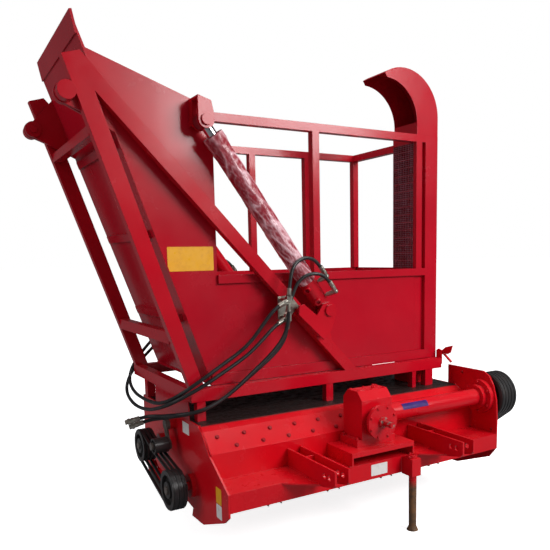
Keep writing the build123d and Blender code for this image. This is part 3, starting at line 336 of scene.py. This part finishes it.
plated_steel = finish_from("plated_steel", iron,
                           {"Metal": (0.46, 0.43, 0.37, 1), "Rust": (0.12, 0.07, 0.03, 1),
                            "Rust Amount": 0.40, "Patch Scale": 40.0}, iron_links)
sleeve_width, sleeve_length = 0.0268, 0.034

for hose_name, (length, far_end, route) in hoses.items():
    line = bpy.data.curves.new(hose_name + "_line", "CURVE")
    line.dimensions = "3D"
    line.bevel_depth, line.bevel_resolution, line.resolution_u = hose_width / 2, 3, 6
    line.use_fill_caps = True
    run = line.splines.new("NURBS")
    run.points.add(len(route) - 1)
    for knot, spot in zip(run.points, route):
        knot.co = (*spot, 1)
    run.order_u = 3
    run.use_endpoint_u = True
    line.materials.append(hose_cover)
    tube = bpy.data.objects.new(hose_name + "_rubber", line)
    scene.collection.objects.link(tube)
    crimps = bmesh.new()
    for end, inward in ((Vector(route[0]), Vector(route[1])), (Vector(route[-1]), Vector(route[-2]))):
        way = (inward - end).normalized()
        add_post(crimps, end, way, sleeve_width / 2, sleeve_length)
        for k in range(5):
            add_post(crimps, end + way * (0.006 + 0.0055 * k), way, sleeve_width / 2 + 0.0006, 0.0028)
        add_post(crimps, end - way * 0.011, way, 0.0158, 0.012, sides=6)
    sleeves = make_piece(hose_name + "_sleeves", crimps, "header", plated_steel)
    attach(tube, "header")
    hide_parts(hose_name)
dress(plated_steel, "hose_tees", "hose_elbows", "hose_couplers")

# ------------------------------------------------------------------ pressed and welded header
# The header body is 5 and 10 mm steel sheet, bent, welded and sprayed bright red over everything,
# with the hitch brackets, the gearbox table, the neck and the wheel arms welded on.
spray, takes, gives = effect_group(
    "sprayed_coat",
    [("Paint", "NodeSocketColor"), ("Deep Paint", "NodeSocketColor"), ("Dust", "NodeSocketColor"),
     ("Dust Amount", "NodeSocketFloat"), ("Texture Scale", "NodeSocketFloat"),
     ("Texture Depth", "NodeSocketFloat")],
    [("Colour", "NodeSocketColor"), ("Roughness", "NodeSocketFloat"), ("Normal", "NodeSocketVector")])
place = add_node(spray, "ShaderNodeTexCoord").outputs["Object"]
coat = blend(spray, cloudy(spray, place, 1.4, 0.35, 0.75, 0.0, 0.55), takes["Paint"], takes["Deep Paint"])
facing = add_node(spray, "ShaderNodeSeparateXYZ")
spray.links.new(add_node(spray, "ShaderNodeNewGeometry").outputs["Normal"], facing.inputs[0])
lying = add_node(spray, "ShaderNodeMapRange")
for label, value in (("From Min", 0.45), ("From Max", 1.0), ("To Min", 0.05), ("To Max", 1.0)):
    lying.inputs[label].default_value = value
spray.links.new(facing.outputs["Z"], lying.inputs["Value"])
film = add_node(spray, "ShaderNodeMath", operation="MULTIPLY")
spray.links.new(lying.outputs[0], film.inputs[0])
spray.links.new(cloudy(spray, place, 5.0, 0.45, 0.75, 0.05, 1.0, 8.0), film.inputs[1])
dusty = add_node(spray, "ShaderNodeMath", operation="MULTIPLY")
spray.links.new(film.outputs[0], dusty.inputs[0])
spray.links.new(takes["Dust Amount"], dusty.inputs[1])
spray.links.new(blend(spray, dusty.outputs[0], coat, takes["Dust"]), gives["Colour"])
matt = add_node(spray, "ShaderNodeMath", operation="ADD")
spray.links.new(cloudy(spray, place, 3.5, 0.3, 0.7, 0.17, 0.30), matt.inputs[0])
spray.links.new(dusty.outputs[0], matt.inputs[1])
spray.links.new(matt.outputs[0], gives["Roughness"])
grit = add_node(spray, "ShaderNodeTexNoise", Detail=2.0)
spray.links.new(place, grit.inputs["Vector"])
spray.links.new(takes["Texture Scale"], grit.inputs["Scale"])
rounded = add_node(spray, "ShaderNodeBevel", samples=3, Radius=0.003)
skin = add_node(spray, "ShaderNodeBump", Distance=0.0012)
spray.links.new(takes["Texture Depth"], skin.inputs["Strength"])
spray.links.new(grit.outputs["Fac"], skin.inputs["Height"])
spray.links.new(rounded.outputs[0], skin.inputs["Normal"])
wavy = bumped(spray, noise_height(spray, place, 2.6, 1.0), 0.35, 0.012, skin.outputs[0])
spray.links.new(wavy, gives["Normal"])


def painted(name, paint, deep, dust=0.25, texture_scale=420.0, texture_depth=0.10):
    return finish_from(
        name, spray,
        {"Paint": (*paint, 1), "Deep Paint": (*deep, 1), "Dust": (0.40, 0.13, 0.11, 1), "Dust Amount": dust,
         "Texture Scale": texture_scale, "Texture Depth": texture_depth},
        coat_links, Specular_IOR_Level=0.30, Coat_Weight=0.14, Coat_Roughness=0.10)


header_coat = painted("header_coat", (0.66, 0.003, 0.010), (0.42, 0.002, 0.009), dust=0.12)
dress(header_coat, "left_side_plate", "right_side_plate", "hitch_brackets", "gearbox_table",
      "discharge_neck", "auger_trough", "stand_socket", "wheel_arms", "bin_latch", "left_wheel_rim",
      "right_wheel_rim")


def axis_mask(tree, axis, centre, start, end):
    """A mask that rises from 0 to 1 with the distance from a plane across an axis, from start to end."""
    spread = add_node(tree, "ShaderNodeSeparateXYZ")
    tree.links.new(add_node(tree, "ShaderNodeTexCoord").outputs["Object"], spread.inputs[0])
    away = add_node(tree, "ShaderNodeMath", operation="SUBTRACT")
    tree.links.new(spread.outputs[axis], away.inputs[0])
    away.inputs[1].default_value = centre
    far = add_node(tree, "ShaderNodeMath", operation="ABSOLUTE")
    tree.links.new(away.outputs[0], far.inputs[0])
    span = add_node(tree, "ShaderNodeMapRange")
    span.inputs["From Min"].default_value, span.inputs["From Max"].default_value = start, end
    tree.links.new(far.outputs[0], span.inputs["Value"])
    return span.outputs[0]


def part_sprayed(name, paint, deep, bare, rust, rust_amount, mask):
    """Paint that gives way to bare or dirty steel where mask(tree) is 1; on the hood deck it gives way to a
    near-black painted shade instead.
    """
    made, tree, shader = new_material(name)
    coated = add_node(tree, "ShaderNodeGroup", node_tree=spray)
    worn = add_node(tree, "ShaderNodeGroup", node_tree=iron)
    for group, values in ((coated, {"Paint": (*paint, 1), "Deep Paint": (*deep, 1),
                                    "Dust": (0.40, 0.13, 0.11, 1), "Dust Amount": 0.12,
                                    "Texture Scale": 420.0, "Texture Depth": 0.1}),
                          (worn, {"Metal": (*bare, 1), "Rust": (*rust, 1), "Rust Amount": rust_amount,
                                  "Patch Scale": 24.0})):
        for label, value in values.items():
            group.inputs[label].default_value = value
    bald_or_shaded = mask(tree)
    coat_or_bare_or_shade = blend(tree, bald_or_shaded, coated.outputs["Colour"], worn.outputs["Colour"])
    tree.links.new(coat_or_bare_or_shade, shader.inputs["Base Color"])
    rough = add_node(tree, "ShaderNodeMix")
    for k, socket in enumerate((bald_or_shaded, coated.outputs["Roughness"], worn.outputs["Roughness"])):
        tree.links.new(socket, rough.inputs[(0, 2, 3)[k]])
    tree.links.new(rough.outputs[0], shader.inputs["Roughness"])
    tree.links.new(coated.outputs["Normal"], shader.inputs["Normal"])
    shader.inputs["Specular IOR Level"].default_value = 0.3
    return made


# The deck under the bin gets no gloss coat and is coloured near-black with dark mottling: painted shade for
# the deep shadow under the bin.
hood_coat_and_painted_shade = part_sprayed("hood_coat_and_painted_deck_shade", (0.66, 0.003, 0.010), (0.42, 0.002, 0.009),
                           (0.020, 0.010, 0.010), (0.030, 0.014, 0.012), 0.5,
                           lambda tree: axis_mask(tree, "Z", 0.0, 0.6545, 0.6600))
dress(hood_coat_and_painted_shade, "hood")
# Shafts stand out bare past the end plates: rotor, auger and idler pin.
shaft_ends = part_sprayed("coat_with_bare_shaft_ends", (0.62, 0.003, 0.010), (0.40, 0.002, 0.009),
                          (0.16, 0.14, 0.125), (0.07, 0.030, 0.018), 0.48,
                          lambda tree: axis_mask(tree, "X", 0.2055, 0.932, 0.936))
dress(shaft_ends, "rotor", "auger", "idler_arm")

skins = {}


def touch(node, start, way):
    """The point where a ray first meets a CAD part."""
    if node not in skins:
        shape = parts[node].data
        skins[node] = BVHTree.FromPolygons([spot.co for spot in shape.vertices],
                                           [face.vertices for face in shape.polygons])
    met = skins[node].ray_cast(Vector(start), Vector(way).normalized())[0]
    if met is None:
        raise ValueError(f"nothing of {node} lies that way from {tuple(start)}")
    return met


def add_bolt(shape, seat, way, flats):
    """Adds a hexagon head with its washer and a chamfered crown, seated on a face."""
    way = Vector(way).normalized()
    add_post(shape, seat - way * 0.001, way, flats * 0.62, 0.001 + flats * 0.12, sides=20)
    add_post(shape, seat + way * flats * 0.11, way, flats * 0.575, flats * 0.36, sides=6)
    add_post(shape, seat + way * flats * 0.46, way, flats * 0.49, flats * 0.07, sides=18, taper=0.86)


# Two staggered rows of sprayed hexagon bolts hold the shear bar behind the slanting facet of the hood.
facet_out = Vector((0, -0.696, 0.718))
facet_bolts = bmesh.new()
for k in range(12):
    for x, y, z in ((-0.6225 + 0.151 * k, -0.3495, 0.610), (-0.5355 + 0.152 * k, -0.3945, 0.566)):
        if x < 1.06:
            seat = touch("hood", Vector((x, y, z)) + facet_out * 0.05, -facet_out)
            add_bolt(facet_bolts, seat, facet_out, 0.018)
bolt_coat = painted("bolt_coat", (0.34, 0.004, 0.010), (0.20, 0.004, 0.008), dust=0.3)
make_piece("hood_facet_bolts", facet_bolts, "header", bolt_coat)

# Three bolts through the right end plate, seen from inside.
plate_bolts = bmesh.new()
for y, z in ((-0.3385, 0.751), (-0.1785, 0.640), (-0.5835, 0.433)):
    add_bolt(plate_bolts, touch("right_side_plate", (1.06, y, z), (1, 0, 0)), (-1, 0, 0), 0.013)
make_piece("end_plate_bolts", plate_bolts, "header", bolt_coat)



def add_weld(shape, start, end, radius=0.0042):
    """Adds a rippled bead of weld metal along a seam."""
    start, end = Vector(start), Vector(end)
    way = (end - start).normalized()
    side = way.orthogonal().normalized()
    count = max(4, int((end - start).length / 0.0045))
    last = None
    for i in range(count + 1):
        ripple = radius * (0.86 + 0.22 * abs(math.sin(i * 1.35)) + 0.10 * noise.noise(start * 40 + way * i))
        middle = start + way * (end - start).length * i / count
        ring = [shape.verts.new(middle + (side * math.cos(turn) + way.cross(side) * math.sin(turn)) * ripple)
                for turn in (math.pi * k / 4 for k in range(8))]
        if last is None:
            shape.faces.new(ring)
        else:
            for k in range(8):
                shape.faces.new((last[k], last[(k + 1) % 8], ring[(k + 1) % 8], ring[k]))
        last = ring
    shape.faces.new(last)


# Painted weld beads: hitch plates and table on the shelf, both ends of the hood, the stand socket.
seams = bmesh.new()
for x in (-0.257, -0.167, 0.568, 0.658):
    add_weld(seams, (x, -0.6150, 0.4105), (x, -0.4230, 0.4105))
for x in (-0.0035, 0.4145):
    add_weld(seams, (x, -0.6150, 0.4105), (x, -0.4230, 0.4105), 0.005)
hood_course = ((-0.6165, 0.410), (-0.4165, 0.410), (-0.4165, 0.545), (-0.3205, 0.638), (-0.2765, 0.662))
for x in (-0.6845, 1.0955):
    for (y0, z0), (y1, z1) in zip(hood_course, hood_course[1:]):
        add_weld(seams, (x, y0, z0), (x, y1, z1), 0.0035)
for x in (0.3505, 0.4125):
    add_weld(seams, (x, -0.6215, 0.319), (x, -0.6215, 0.404), 0.0045)
make_piece("header_weld_beads", seams, "header", header_coat, crease=50)

# ------------------------------------------------------------------ gearbox and drive tube
# Grey iron castings under the same red paint, so the sand texture shows through the coat.
# Bolts close the input cover and the side flanges, and four more clamp the feet to the table.
cast_coat = painted("cast_coat", (0.62, 0.003, 0.011), (0.38, 0.002, 0.009), dust=0.14, texture_scale=190.0,
                    texture_depth=0.55)
dress(cast_coat, "gearbox", "drive_tube")
input_middle = Vector((0.2055, -0.70, 0.625))
drive_middle = Vector((0, -0.4965, 0.625))

cover_circle, tube_flange_circle, side_flange_circle = 0.083, 0.089, 0.061
small_head, cover_head, clamp_head, foot_head = 0.011, 0.013, 0.016, 0.019
cover_bolts = bmesh.new()
for k in range(8):
    turn = math.radians(22.5 + 45 * k)
    spot = input_middle + Vector((math.cos(turn), 0, math.sin(turn))) * cover_circle
    add_bolt(cover_bolts, touch("gearbox", spot, (0, 1, 0)), (0, -1, 0), cover_head)
for x in (0.0905, 0.3205):
    for y in (-0.5655, -0.4395):
        add_bolt(cover_bolts, touch("gearbox", (x, y, 0.60), (0, 0, -1)), (0, 0, 1), foot_head)
for x in (0.1205, 0.2055, 0.2905):
    for y in (-0.5405, -0.4685):
        add_bolt(cover_bolts, touch("gearbox", (x, y, 0.85), (0, 0, -1)), (0, 0, 1), small_head)
breather = touch("gearbox", (0.2455, -0.5045, 0.85), (0, 0, -1))
add_post(cover_bolts, breather, (0, 0, 1), 0.011, 0.008, sides=6)
add_post(cover_bolts, breather + Vector((0, 0, 0.008)), (0, 0, 1), 0.009, 0.010, sides=20, taper=0.8)
make_piece("gearbox_bolts", cover_bolts, "header", cast_coat)

flange_bolts = bmesh.new()
for k in range(6):
    turn = math.radians(30 + 60 * k)
    around = Vector((0, math.cos(turn), math.sin(turn)))
    seat = touch("drive_tube", drive_middle + around * tube_flange_circle + Vector((0.9, 0, 0)), (1, 0, 0))
    add_bolt(flange_bolts, seat, (-1, 0, 0), clamp_head)
    seat = touch("gearbox", drive_middle + around * side_flange_circle + Vector((0.6, 0, 0)), (-1, 0, 0))
    add_bolt(flange_bolts, seat, (1, 0, 0), small_head)
make_piece("drive_flange_bolts", flange_bolts, "header", cast_coat)

# ------------------------------------------------------------------ frames that carry the bin
# Rectangular tube frames stand on the header and lean out at the left to the tipping pivots.
# They are sprayed with the same red; the steel brackets and barrels of the cylinders carry it too.
frame_coat = painted("frame_coat", (0.54, 0.003, 0.014), (0.32, 0.002, 0.010), dust=0.13)
dress(frame_coat, "base_frame", "front_tip_frame", "rear_tip_frame", "frame_crossbars",
      "lower_cylinder_brackets", "upper_cylinder_brackets", "front_cylinder_barrel", "rear_cylinder_barrel",
      "bin_hinge_lugs")

# ------------------------------------------------------------------ bin, crop duct and spout
# The bin is folded sheet on a tube cage, with a duct and a curved spout at the right; sprayed red.
bin_coat = painted("bin_coat", (0.48, 0.003, 0.015), (0.29, 0.002, 0.011), dust=0.14)
dress(bin_coat, "bin_sill", "bin_left_wall", "bin_front_panel", "bin_rear_panel", "bin_cage", "bin_floor",
      "bin_right_wall", "crop_duct", "spout_hood", "duct_screen")

# Woven wire behind the bars of the duct screen keeps the crop in and lets the air out.
pitch, wire, edge_gap = 0.012, 0.0011, 0.002
screen_low, screen_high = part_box("duct_screen")
weave = bmesh.new()


def add_wire(shape, course, radius):
    """Adds a thin square wire through a course of points."""
    last = None
    for place, spot in enumerate(course):
        way = (course[min(place + 1, len(course) - 1)] - course[max(place - 1, 0)]).normalized()
        side = way.cross(Vector((1, 0, 0))).normalized()
        ring = [shape.verts.new(spot + (side * math.cos(turn) + way.cross(side) * math.sin(turn)) * radius)
                for turn in (0.8, 2.4, 3.9, 5.5)]
        if last is not None:
            for k in range(4):
                shape.faces.new((last[k], last[(k + 1) % 4], ring[(k + 1) % 4], ring[k]))
        last = ring


columns = int((screen_high.y - screen_low.y) / pitch)
rows = int((screen_high.z - screen_low.z) / pitch)
wire_x = screen_low.x - wire * 1.6
for i in range(columns + 1):
    y = screen_low.y + edge_gap + i * (screen_high.y - screen_low.y - 2 * edge_gap) / columns
    add_wire(weave, [Vector((wire_x + wire * (-1) ** (i + j), y,
                             screen_low.z + j * (screen_high.z - screen_low.z) / rows))
                     for j in range(rows + 1)], wire)
for j in range(1, rows):
    z = screen_low.z + j * (screen_high.z - screen_low.z) / rows
    add_wire(weave, [Vector((wire_x - wire * (-1) ** (i + j), screen_low.y + edge_gap
                             + i * (screen_high.y - screen_low.y - 2 * edge_gap) / columns, z))
                     for i in range(columns + 1)], wire)
wire_finish = finish_from("galvanised_wire", iron,
                          {"Metal": (0.46, 0.27, 0.34, 1), "Rust": (0.24, 0.07, 0.08, 1), "Rust Amount": 0.45,
                           "Patch Scale": 14.0}, coat_links, Metallic=0.35)
make_piece("duct_wire_mesh", weave, "bin", wire_finish)

# ------------------------------------------------------------------ film on the front cylinder
# Clear packing film round the front barrel, made as one closed sleeve. It is creased and slack and drawn in
# at both ends;
# its fold crests are pale pink, partly milky haze off the paint and partly painted glints. The rod beyond it
# stays bare.
pin_place, reach = Vector((0.1335, -0.2085, 1.2)), Vector((-0.5878, 0, 0.8090)).normalized()
side_way, top_way = Vector((0, -1, 0)), Vector((0.8090, 0, 0.5878)).normalized()
film_from, film_to, steps, around = 0.205, 1.129, 170, 72
sleeve_r, collar_swell, collar_from, collar_run = 0.0503, 0.0053, 1.066, 0.024
film_shape = bmesh.new()
milk_and_glint = film_shape.verts.layers.float.new("milk_and_glint")
last = None
for i in range(steps + 1):
    t = film_from + (film_to - film_from) * i / steps
    end = min(1.0, (t - film_from) / 0.012, (film_to - t) / 0.008)
    swell = collar_swell * min(1.0, max(0.0, (t - collar_from) / collar_run))
    ring = []
    for k in range(around):
        turn = 2 * math.pi * k / around
        out = side_way * math.cos(turn) + top_way * math.sin(turn)
        slant = Vector((t * 9 + turn * 0.55, math.cos(turn) * 1.1, math.sin(turn) * 1.1))
        fold = 1 - abs(noise.noise(slant)) * 3.2
        fine = 1 - abs(noise.noise(slant * 3.1 + Vector((5, 2, 1)))) * 2.6
        lift = max(0.0, fold) * 0.0030 + max(0.0, fine) * 0.0013
        spot = film_shape.verts.new(pin_place + reach * t + out * (sleeve_r + swell + lift * end))
        # Fold crests get a high value here: pale colour there is partly milky haze, partly painted glint.
        spot[milk_and_glint] = max(0.0, fold) ** 2 * 0.75 + max(0.0, fine) ** 2 * 0.35
        ring.append(spot)
    if last is not None:
        for k in range(around):
            film_shape.faces.new((last[k], last[(k + 1) % around], ring[(k + 1) % around], ring[k]))
    last = ring
# Colour runs from the red seen through the film to pale pink on the fold crests: partly milky haze, partly
# painted glints.
film_finish, tree, shader = new_material("packing_film")
held = add_node(tree, "ShaderNodeAttribute", attribute_name="milk_and_glint")
place = add_node(tree, "ShaderNodeTexCoord").outputs["Object"]
haze_and_glint = add_node(tree, "ShaderNodeMath", operation="MULTIPLY")
tree.links.new(held.outputs["Fac"], haze_and_glint.inputs[0])
tree.links.new(cloudy(tree, place, 4.5, 0.38, 0.58, 0.30, 2.1), haze_and_glint.inputs[1])
tree.links.new(blend(tree, haze_and_glint.outputs[0], (0.30, 0.012, 0.026, 1), (0.74, 0.44, 0.48, 1)),
               shader.inputs["Base Color"])
tree.links.new(cloudy(tree, place, 30.0, 0.3, 0.7, 0.22, 0.46), shader.inputs["Roughness"])
tree.links.new(bumped(tree, noise_height(tree, place, 34.0, 5.0), 0.8, 0.008), shader.inputs["Normal"])
shader.inputs["Coat Weight"].default_value = 0.25
shader.inputs["Coat Roughness"].default_value = 0.08
make_piece("front_barrel_film", film_shape, "front_barrel", film_finish, crease=60)

# ------------------------------------------------------------------ cylinder rods and shafts
# The rods are hard chromed and polished; the shafts are turned steel, dull and lightly rusted.
rod_finish, tree, shader = new_material("hard_chrome")
place = add_node(tree, "ShaderNodeTexCoord").outputs["Object"]
tree.links.new(blend(tree, cloudy(tree, place, 25.0, 0.4, 0.7), (0.66, 0.67, 0.69, 1), (0.50, 0.50, 0.50, 1)),
               shader.inputs["Base Color"])
tree.links.new(cloudy(tree, place, 60.0, 0.3, 0.7, 0.08, 0.2), shader.inputs["Roughness"])
shader.inputs["Metallic"].default_value = 1.0
dress(rod_finish, "front_cylinder_rod", "rear_cylinder_rod")
shaft_finish = finish_from("turned_steel", iron,
                           {"Metal": (0.40, 0.37, 0.33, 1), "Rust": (0.13, 0.05, 0.02, 1),
                            "Rust Amount": 0.42, "Patch Scale": 25.0}, iron_links)
dress(shaft_finish, "drive_shaft")

stub_finish = part_sprayed("overspray_on_steel", (0.58, 0.003, 0.010), (0.34, 0.003, 0.009),
                           (0.34, 0.30, 0.27), (0.10, 0.03, 0.02), 0.45,
                           lambda tree: cloudy(tree, add_node(tree, "ShaderNodeTexCoord").outputs["Object"],
                                               38.0, 0.50, 0.58, 0.0, 0.8, 4.0))
dress(stub_finish, "input_shaft")

# ------------------------------------------------------------------ flails
# The flails are forged steel, scoured by the crop at their edges and rusted over the rest.
flail_finish = finish_from("forged_flail", iron,
                           {"Metal": (0.23, 0.20, 0.18, 1), "Rust": (0.09, 0.035, 0.02, 1),
                            "Rust Amount": 0.52, "Patch Scale": 30.0}, iron_links)
dress(flail_finish, "flails")

# ------------------------------------------------------------------ pulleys and belts
# Cast iron pulleys under thin black paint, with their grooves polished by grooved rubber belts.
pulley_finish = finish_from("black_cast_iron", iron,
                            {"Metal": (0.045, 0.042, 0.042, 1), "Rust": (0.085, 0.04, 0.025, 1),
                             "Rust Amount": 0.40, "Patch Scale": 18.0},
                            {"Colour": "Base Color", "Roughness": "Roughness", "Normal": "Normal"},
                            Metallic=0.25)
dress(pulley_finish, "drive_pulley", "rotor_pulley_left", "rotor_pulley_right", "auger_pulley",
      "idler_pulley")
belt_finish = finish_from("belt_rubber", moulded,
                          {"Rubber": (0.010, 0.010, 0.011, 1), "Bloom": (0.08, 0.065, 0.06, 1),
                           "Bloom Amount": 0.35}, coat_links)
belt_profile = [(-0.0079, 0.0034), (-0.0074, 0.0038), (0.0074, 0.0038), (0.0079, 0.0034), (0.0079, 0.0008),
                (0.0058, -0.0078), (-0.0058, -0.0078), (-0.0079, 0.0008)]


def belt_course(wheels):
    """A belt's closed line round its wheels, with its outward way; a negative size bends it back."""
    outward = []
    for (start, r0), (end, r1) in zip(wheels, wheels[1:] + wheels[:1]):
        span = Vector(end) - Vector(start)
        run = math.atan2(span.y, span.x) + math.asin((r0 - r1) / span.length)
        outward.append(run - math.pi / 2)
    course = []
    for k, (middle, size) in enumerate(wheels):
        first, last = outward[k - 1], outward[k]
        swing = (last - first) % (2 * math.pi) if size > 0 else -((first - last) % (2 * math.pi))
        count = max(3, int(abs(swing) / 0.09))
        for step in range(count + 1):
            turn = first + swing * step / count
            out = Vector((0, math.cos(turn), math.sin(turn)))
            course.append((Vector((0, middle[0], middle[1])) + out * size, out))
    return course


for name, node, first_x, count, wheels in (
        ("drive_v_belts", "drive_belt", 1.1315, 5, [((-0.4965, 0.625), 0.137), ((-0.1715, 0.320), 0.098)]),
        ("auger_v_belts", "auger_belt", -0.8355, 3,
         [((-0.1715, 0.320), 0.103), ((0.2835, 0.440), 0.092), ((0.0185, 0.505), -0.0464)])):
    set_of_belts = bmesh.new()
    course = belt_course(wheels)
    for k in range(count):
        x = first_x + 0.025 * (k + 0.5)
        rings = [[set_of_belts.verts.new(spot + out * high + Vector((x + wide, 0, 0)))
                  for wide, high in belt_profile] for spot, out in course]
        for here, after in zip(rings, rings[1:] + rings[:1]):
            for j in range(8):
                set_of_belts.faces.new((here[j], here[(j + 1) % 8], after[(j + 1) % 8], after[j]))
    belts = make_piece(name, set_of_belts, "header", belt_finish, crease=30)
    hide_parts(node)

# ------------------------------------------------------------------ gauge wheel tyres
# Two implement tyres with four running grooves, a bead ring and shallow ribs moulded in the sides.
tyre_finish = finish_from("tyre_rubber", moulded,
                          {"Rubber": (0.020, 0.020, 0.021, 1), "Bloom": (0.20, 0.17, 0.14, 1),
                           "Bloom Amount": 0.45}, coat_links)
tyre_profile = [(-0.030, 0.112), (-0.038, 0.114), (-0.045, 0.120), (-0.0515, 0.128), (-0.0525, 0.131),
                (-0.0555, 0.133), (-0.0585, 0.146), (-0.0590, 0.155), (-0.0580, 0.158), (-0.0575, 0.166),
                (-0.0565, 0.168), (-0.0545, 0.176), (-0.0500, 0.184)]
grooves = []
for middle in (-0.033, -0.011, 0.011, 0.033):
    for shift, depth in ((-0.0036, 0.0), (-0.0026, 0.0065), (0.0026, 0.0065), (0.0036, 0.0)):
        x = middle + shift
        grooves.append((x, 0.195 - 26.0 * x * x * 0.11 - depth))
tyre_profile = tyre_profile + grooves + [(-x, r) for x, r in reversed(tyre_profile)]
for side, body in (("left_wheel", "left_wheel"), ("right_wheel", "right_wheel")):
    low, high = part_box(side + "_tyre")
    hub = (low + high) / 2
    round_tyre = bmesh.new()
    line = [round_tyre.verts.new(hub + Vector((x, 0, r))) for x, r in tyre_profile]
    edges = [round_tyre.edges.new(pair) for pair in zip(line, line[1:])]
    bmesh.ops.spin(round_tyre, geom=line + edges, cent=hub, axis=(1, 0, 0), angle=2 * math.pi, steps=96,
                   use_merge=True)
    for k in range(48):
        for way in (-1, 1):
            turn = 2 * math.pi * k / 48
            out = Vector((0, math.cos(turn), math.sin(turn)))
            along = Vector((0, -math.sin(turn), math.cos(turn)))
            corners = [hub + Vector((way * x, 0, 0)) + out * r + along * half
                       for x, r, half in ((0.0572, 0.168, 0.004), (0.0572, 0.168, -0.004),
                                          (0.0490, 0.1855, -0.004), (0.0490, 0.1855, 0.004))]
            lifted = [spot + Vector((way * 0.0012, 0, 0)) + out * 0.0008 for spot in corners]
            foot = [round_tyre.verts.new(spot) for spot in corners]
            top = [round_tyre.verts.new(spot) for spot in lifted]
            round_tyre.faces.new(top)
            for j in range(4):
                round_tyre.faces.new((foot[j], foot[(j + 1) % 4], top[(j + 1) % 4], top[j]))
    tyre = make_piece(side + "_grooved_tyre", round_tyre, body, tyre_finish, crease=28)
    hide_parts(side + "_tyre")

# ------------------------------------------------------------------ parking stand
# A drawn tube, sprayed where the socket kept it clean and rusted brown below, on a flared foot.
stand_finish = part_sprayed("rusted_stand", (0.60, 0.003, 0.010), (0.36, 0.002, 0.009),
                            (0.10, 0.06, 0.035), (0.20, 0.095, 0.04), 0.55,
                            lambda tree: axis_mask(tree, "Z", 0.42, 0.13, 0.18))
dress(stand_finish, "parking_stand")

# ------------------------------------------------------------------ blank plates
# Thin plates, all left blank: a yellow one on the bin, a yellow and two white ones on the left end
# plate, a white one on the apron and a blue one wrapped on the drive tube.


def plate_finish(name, colour, worn):
    made, tree, shader = new_material(name)
    place = add_node(tree, "ShaderNodeTexCoord").outputs["Object"]
    tree.links.new(blend(tree, cloudy(tree, place, 35.0, 0.5, 0.75, 0.0, 0.45, 8.0), colour, worn),
                   shader.inputs["Base Color"])
    tree.links.new(cloudy(tree, place, 50.0, 0.3, 0.7, 0.25, 0.5), shader.inputs["Roughness"])
    tree.links.new(bumped(tree, noise_height(tree, place, 25.0), 0.2, 0.002), shader.inputs["Normal"])
    return made


yellow = plate_finish("yellow_plate", (0.84, 0.40, 0.006, 1), (0.62, 0.24, 0.01, 1))
white = plate_finish("white_plate", (0.80, 0.76, 0.74, 1), (0.50, 0.36, 0.34, 1))
blue = plate_finish("blue_plate", (0.075, 0.035, 0.30, 1), (0.20, 0.03, 0.14, 1))


def add_plate(shape, low, across, up, out, rounding, thick=0.0008):
    """Adds a thin plate with rounded corners: low is a corner, across and up are its edges."""
    x_way, y_way = across.normalized(), up.normalized()
    width, height = across.length, up.length
    rim = []
    for cx, cy, start in ((width - rounding, height - rounding, 0), (rounding, height - rounding, 90),
                          (rounding, rounding, 180), (width - rounding, rounding, 270)):
        for k in range(5):
            turn = math.radians(start + 22.5 * k)
            rim.append(low + x_way * (cx + rounding * math.cos(turn))
                       + y_way * (cy + rounding * math.sin(turn)))
    back = [shape.verts.new(spot - out * 0.0002) for spot in rim]
    front = [shape.verts.new(spot + out * thick) for spot in rim]
    shape.faces.new(front)
    shape.faces.new(list(reversed(back)))
    for k in range(len(rim)):
        j = (k + 1) % len(rim)
        shape.faces.new((back[k], back[j], front[j], front[k]))


def stick_plate(name, node, body, finish, middle, across, up, out, rounding=0.004):
    """A blank plate stuck on a flat face of a CAD part, found from in front of its middle."""
    seat = touch(node, middle + out * 0.03, -out)
    shape = bmesh.new()
    add_plate(shape, seat - across / 2 - up / 2, across, up, out, rounding)
    return make_piece(name, shape, body, finish)


toward, leftward = Vector((0, -1, 0)), Vector((-1, 0, 0))
stick_plate("bin_yellow_plate", "bin_front_panel", "bin", yellow, Vector((-0.639, -0.1305, 1.503)),
            Vector((0.251, 0, 0)), Vector((0, 0, 0.124)), toward, 0.006)
stick_plate("apron_white_plate", "hood", "header", white, Vector((0.195, -0.6215, 0.365)),
            Vector((0.109, 0, 0)), Vector((0, 0, 0.062)), toward)
stick_plate("end_yellow_plate", "left_side_plate", "header", yellow, Vector((-0.6945, -0.513, 0.371)),
            Vector((0, -0.061, 0)), Vector((0, 0, 0.080)), leftward)
stick_plate("end_white_plate", "left_side_plate", "header", white, Vector((-0.6945, -0.513, 0.292)),
            Vector((0, -0.061, 0)), Vector((0, 0, 0.070)), leftward)
stick_plate("end_upper_plate", "left_side_plate", "header", white, Vector((-0.6945, -0.105, 0.612)),
            Vector((0, -0.092, 0)), Vector((0, 0, 0.062)), leftward)

wrap = bmesh.new()
rows = []
for k in range(9):
    turn = math.radians(16 + 5.5 * k)
    out = Vector((0, -math.cos(turn), math.sin(turn)))
    rows.append([wrap.verts.new(Vector((x, drive_middle.y, drive_middle.z)) + out * 0.0507)
                 for x in (0.4295, 0.4930, 0.5530, 0.6165)])
for under, over in zip(rows, rows[1:]):
    for k in range(3):
        wrap.faces.new((under[k], under[k + 1], over[k + 1], over[k]))
bmesh.ops.solidify(wrap, geom=wrap.faces[:], thickness=-0.0006)
make_piece("tube_blue_plate", wrap, "header", blue)
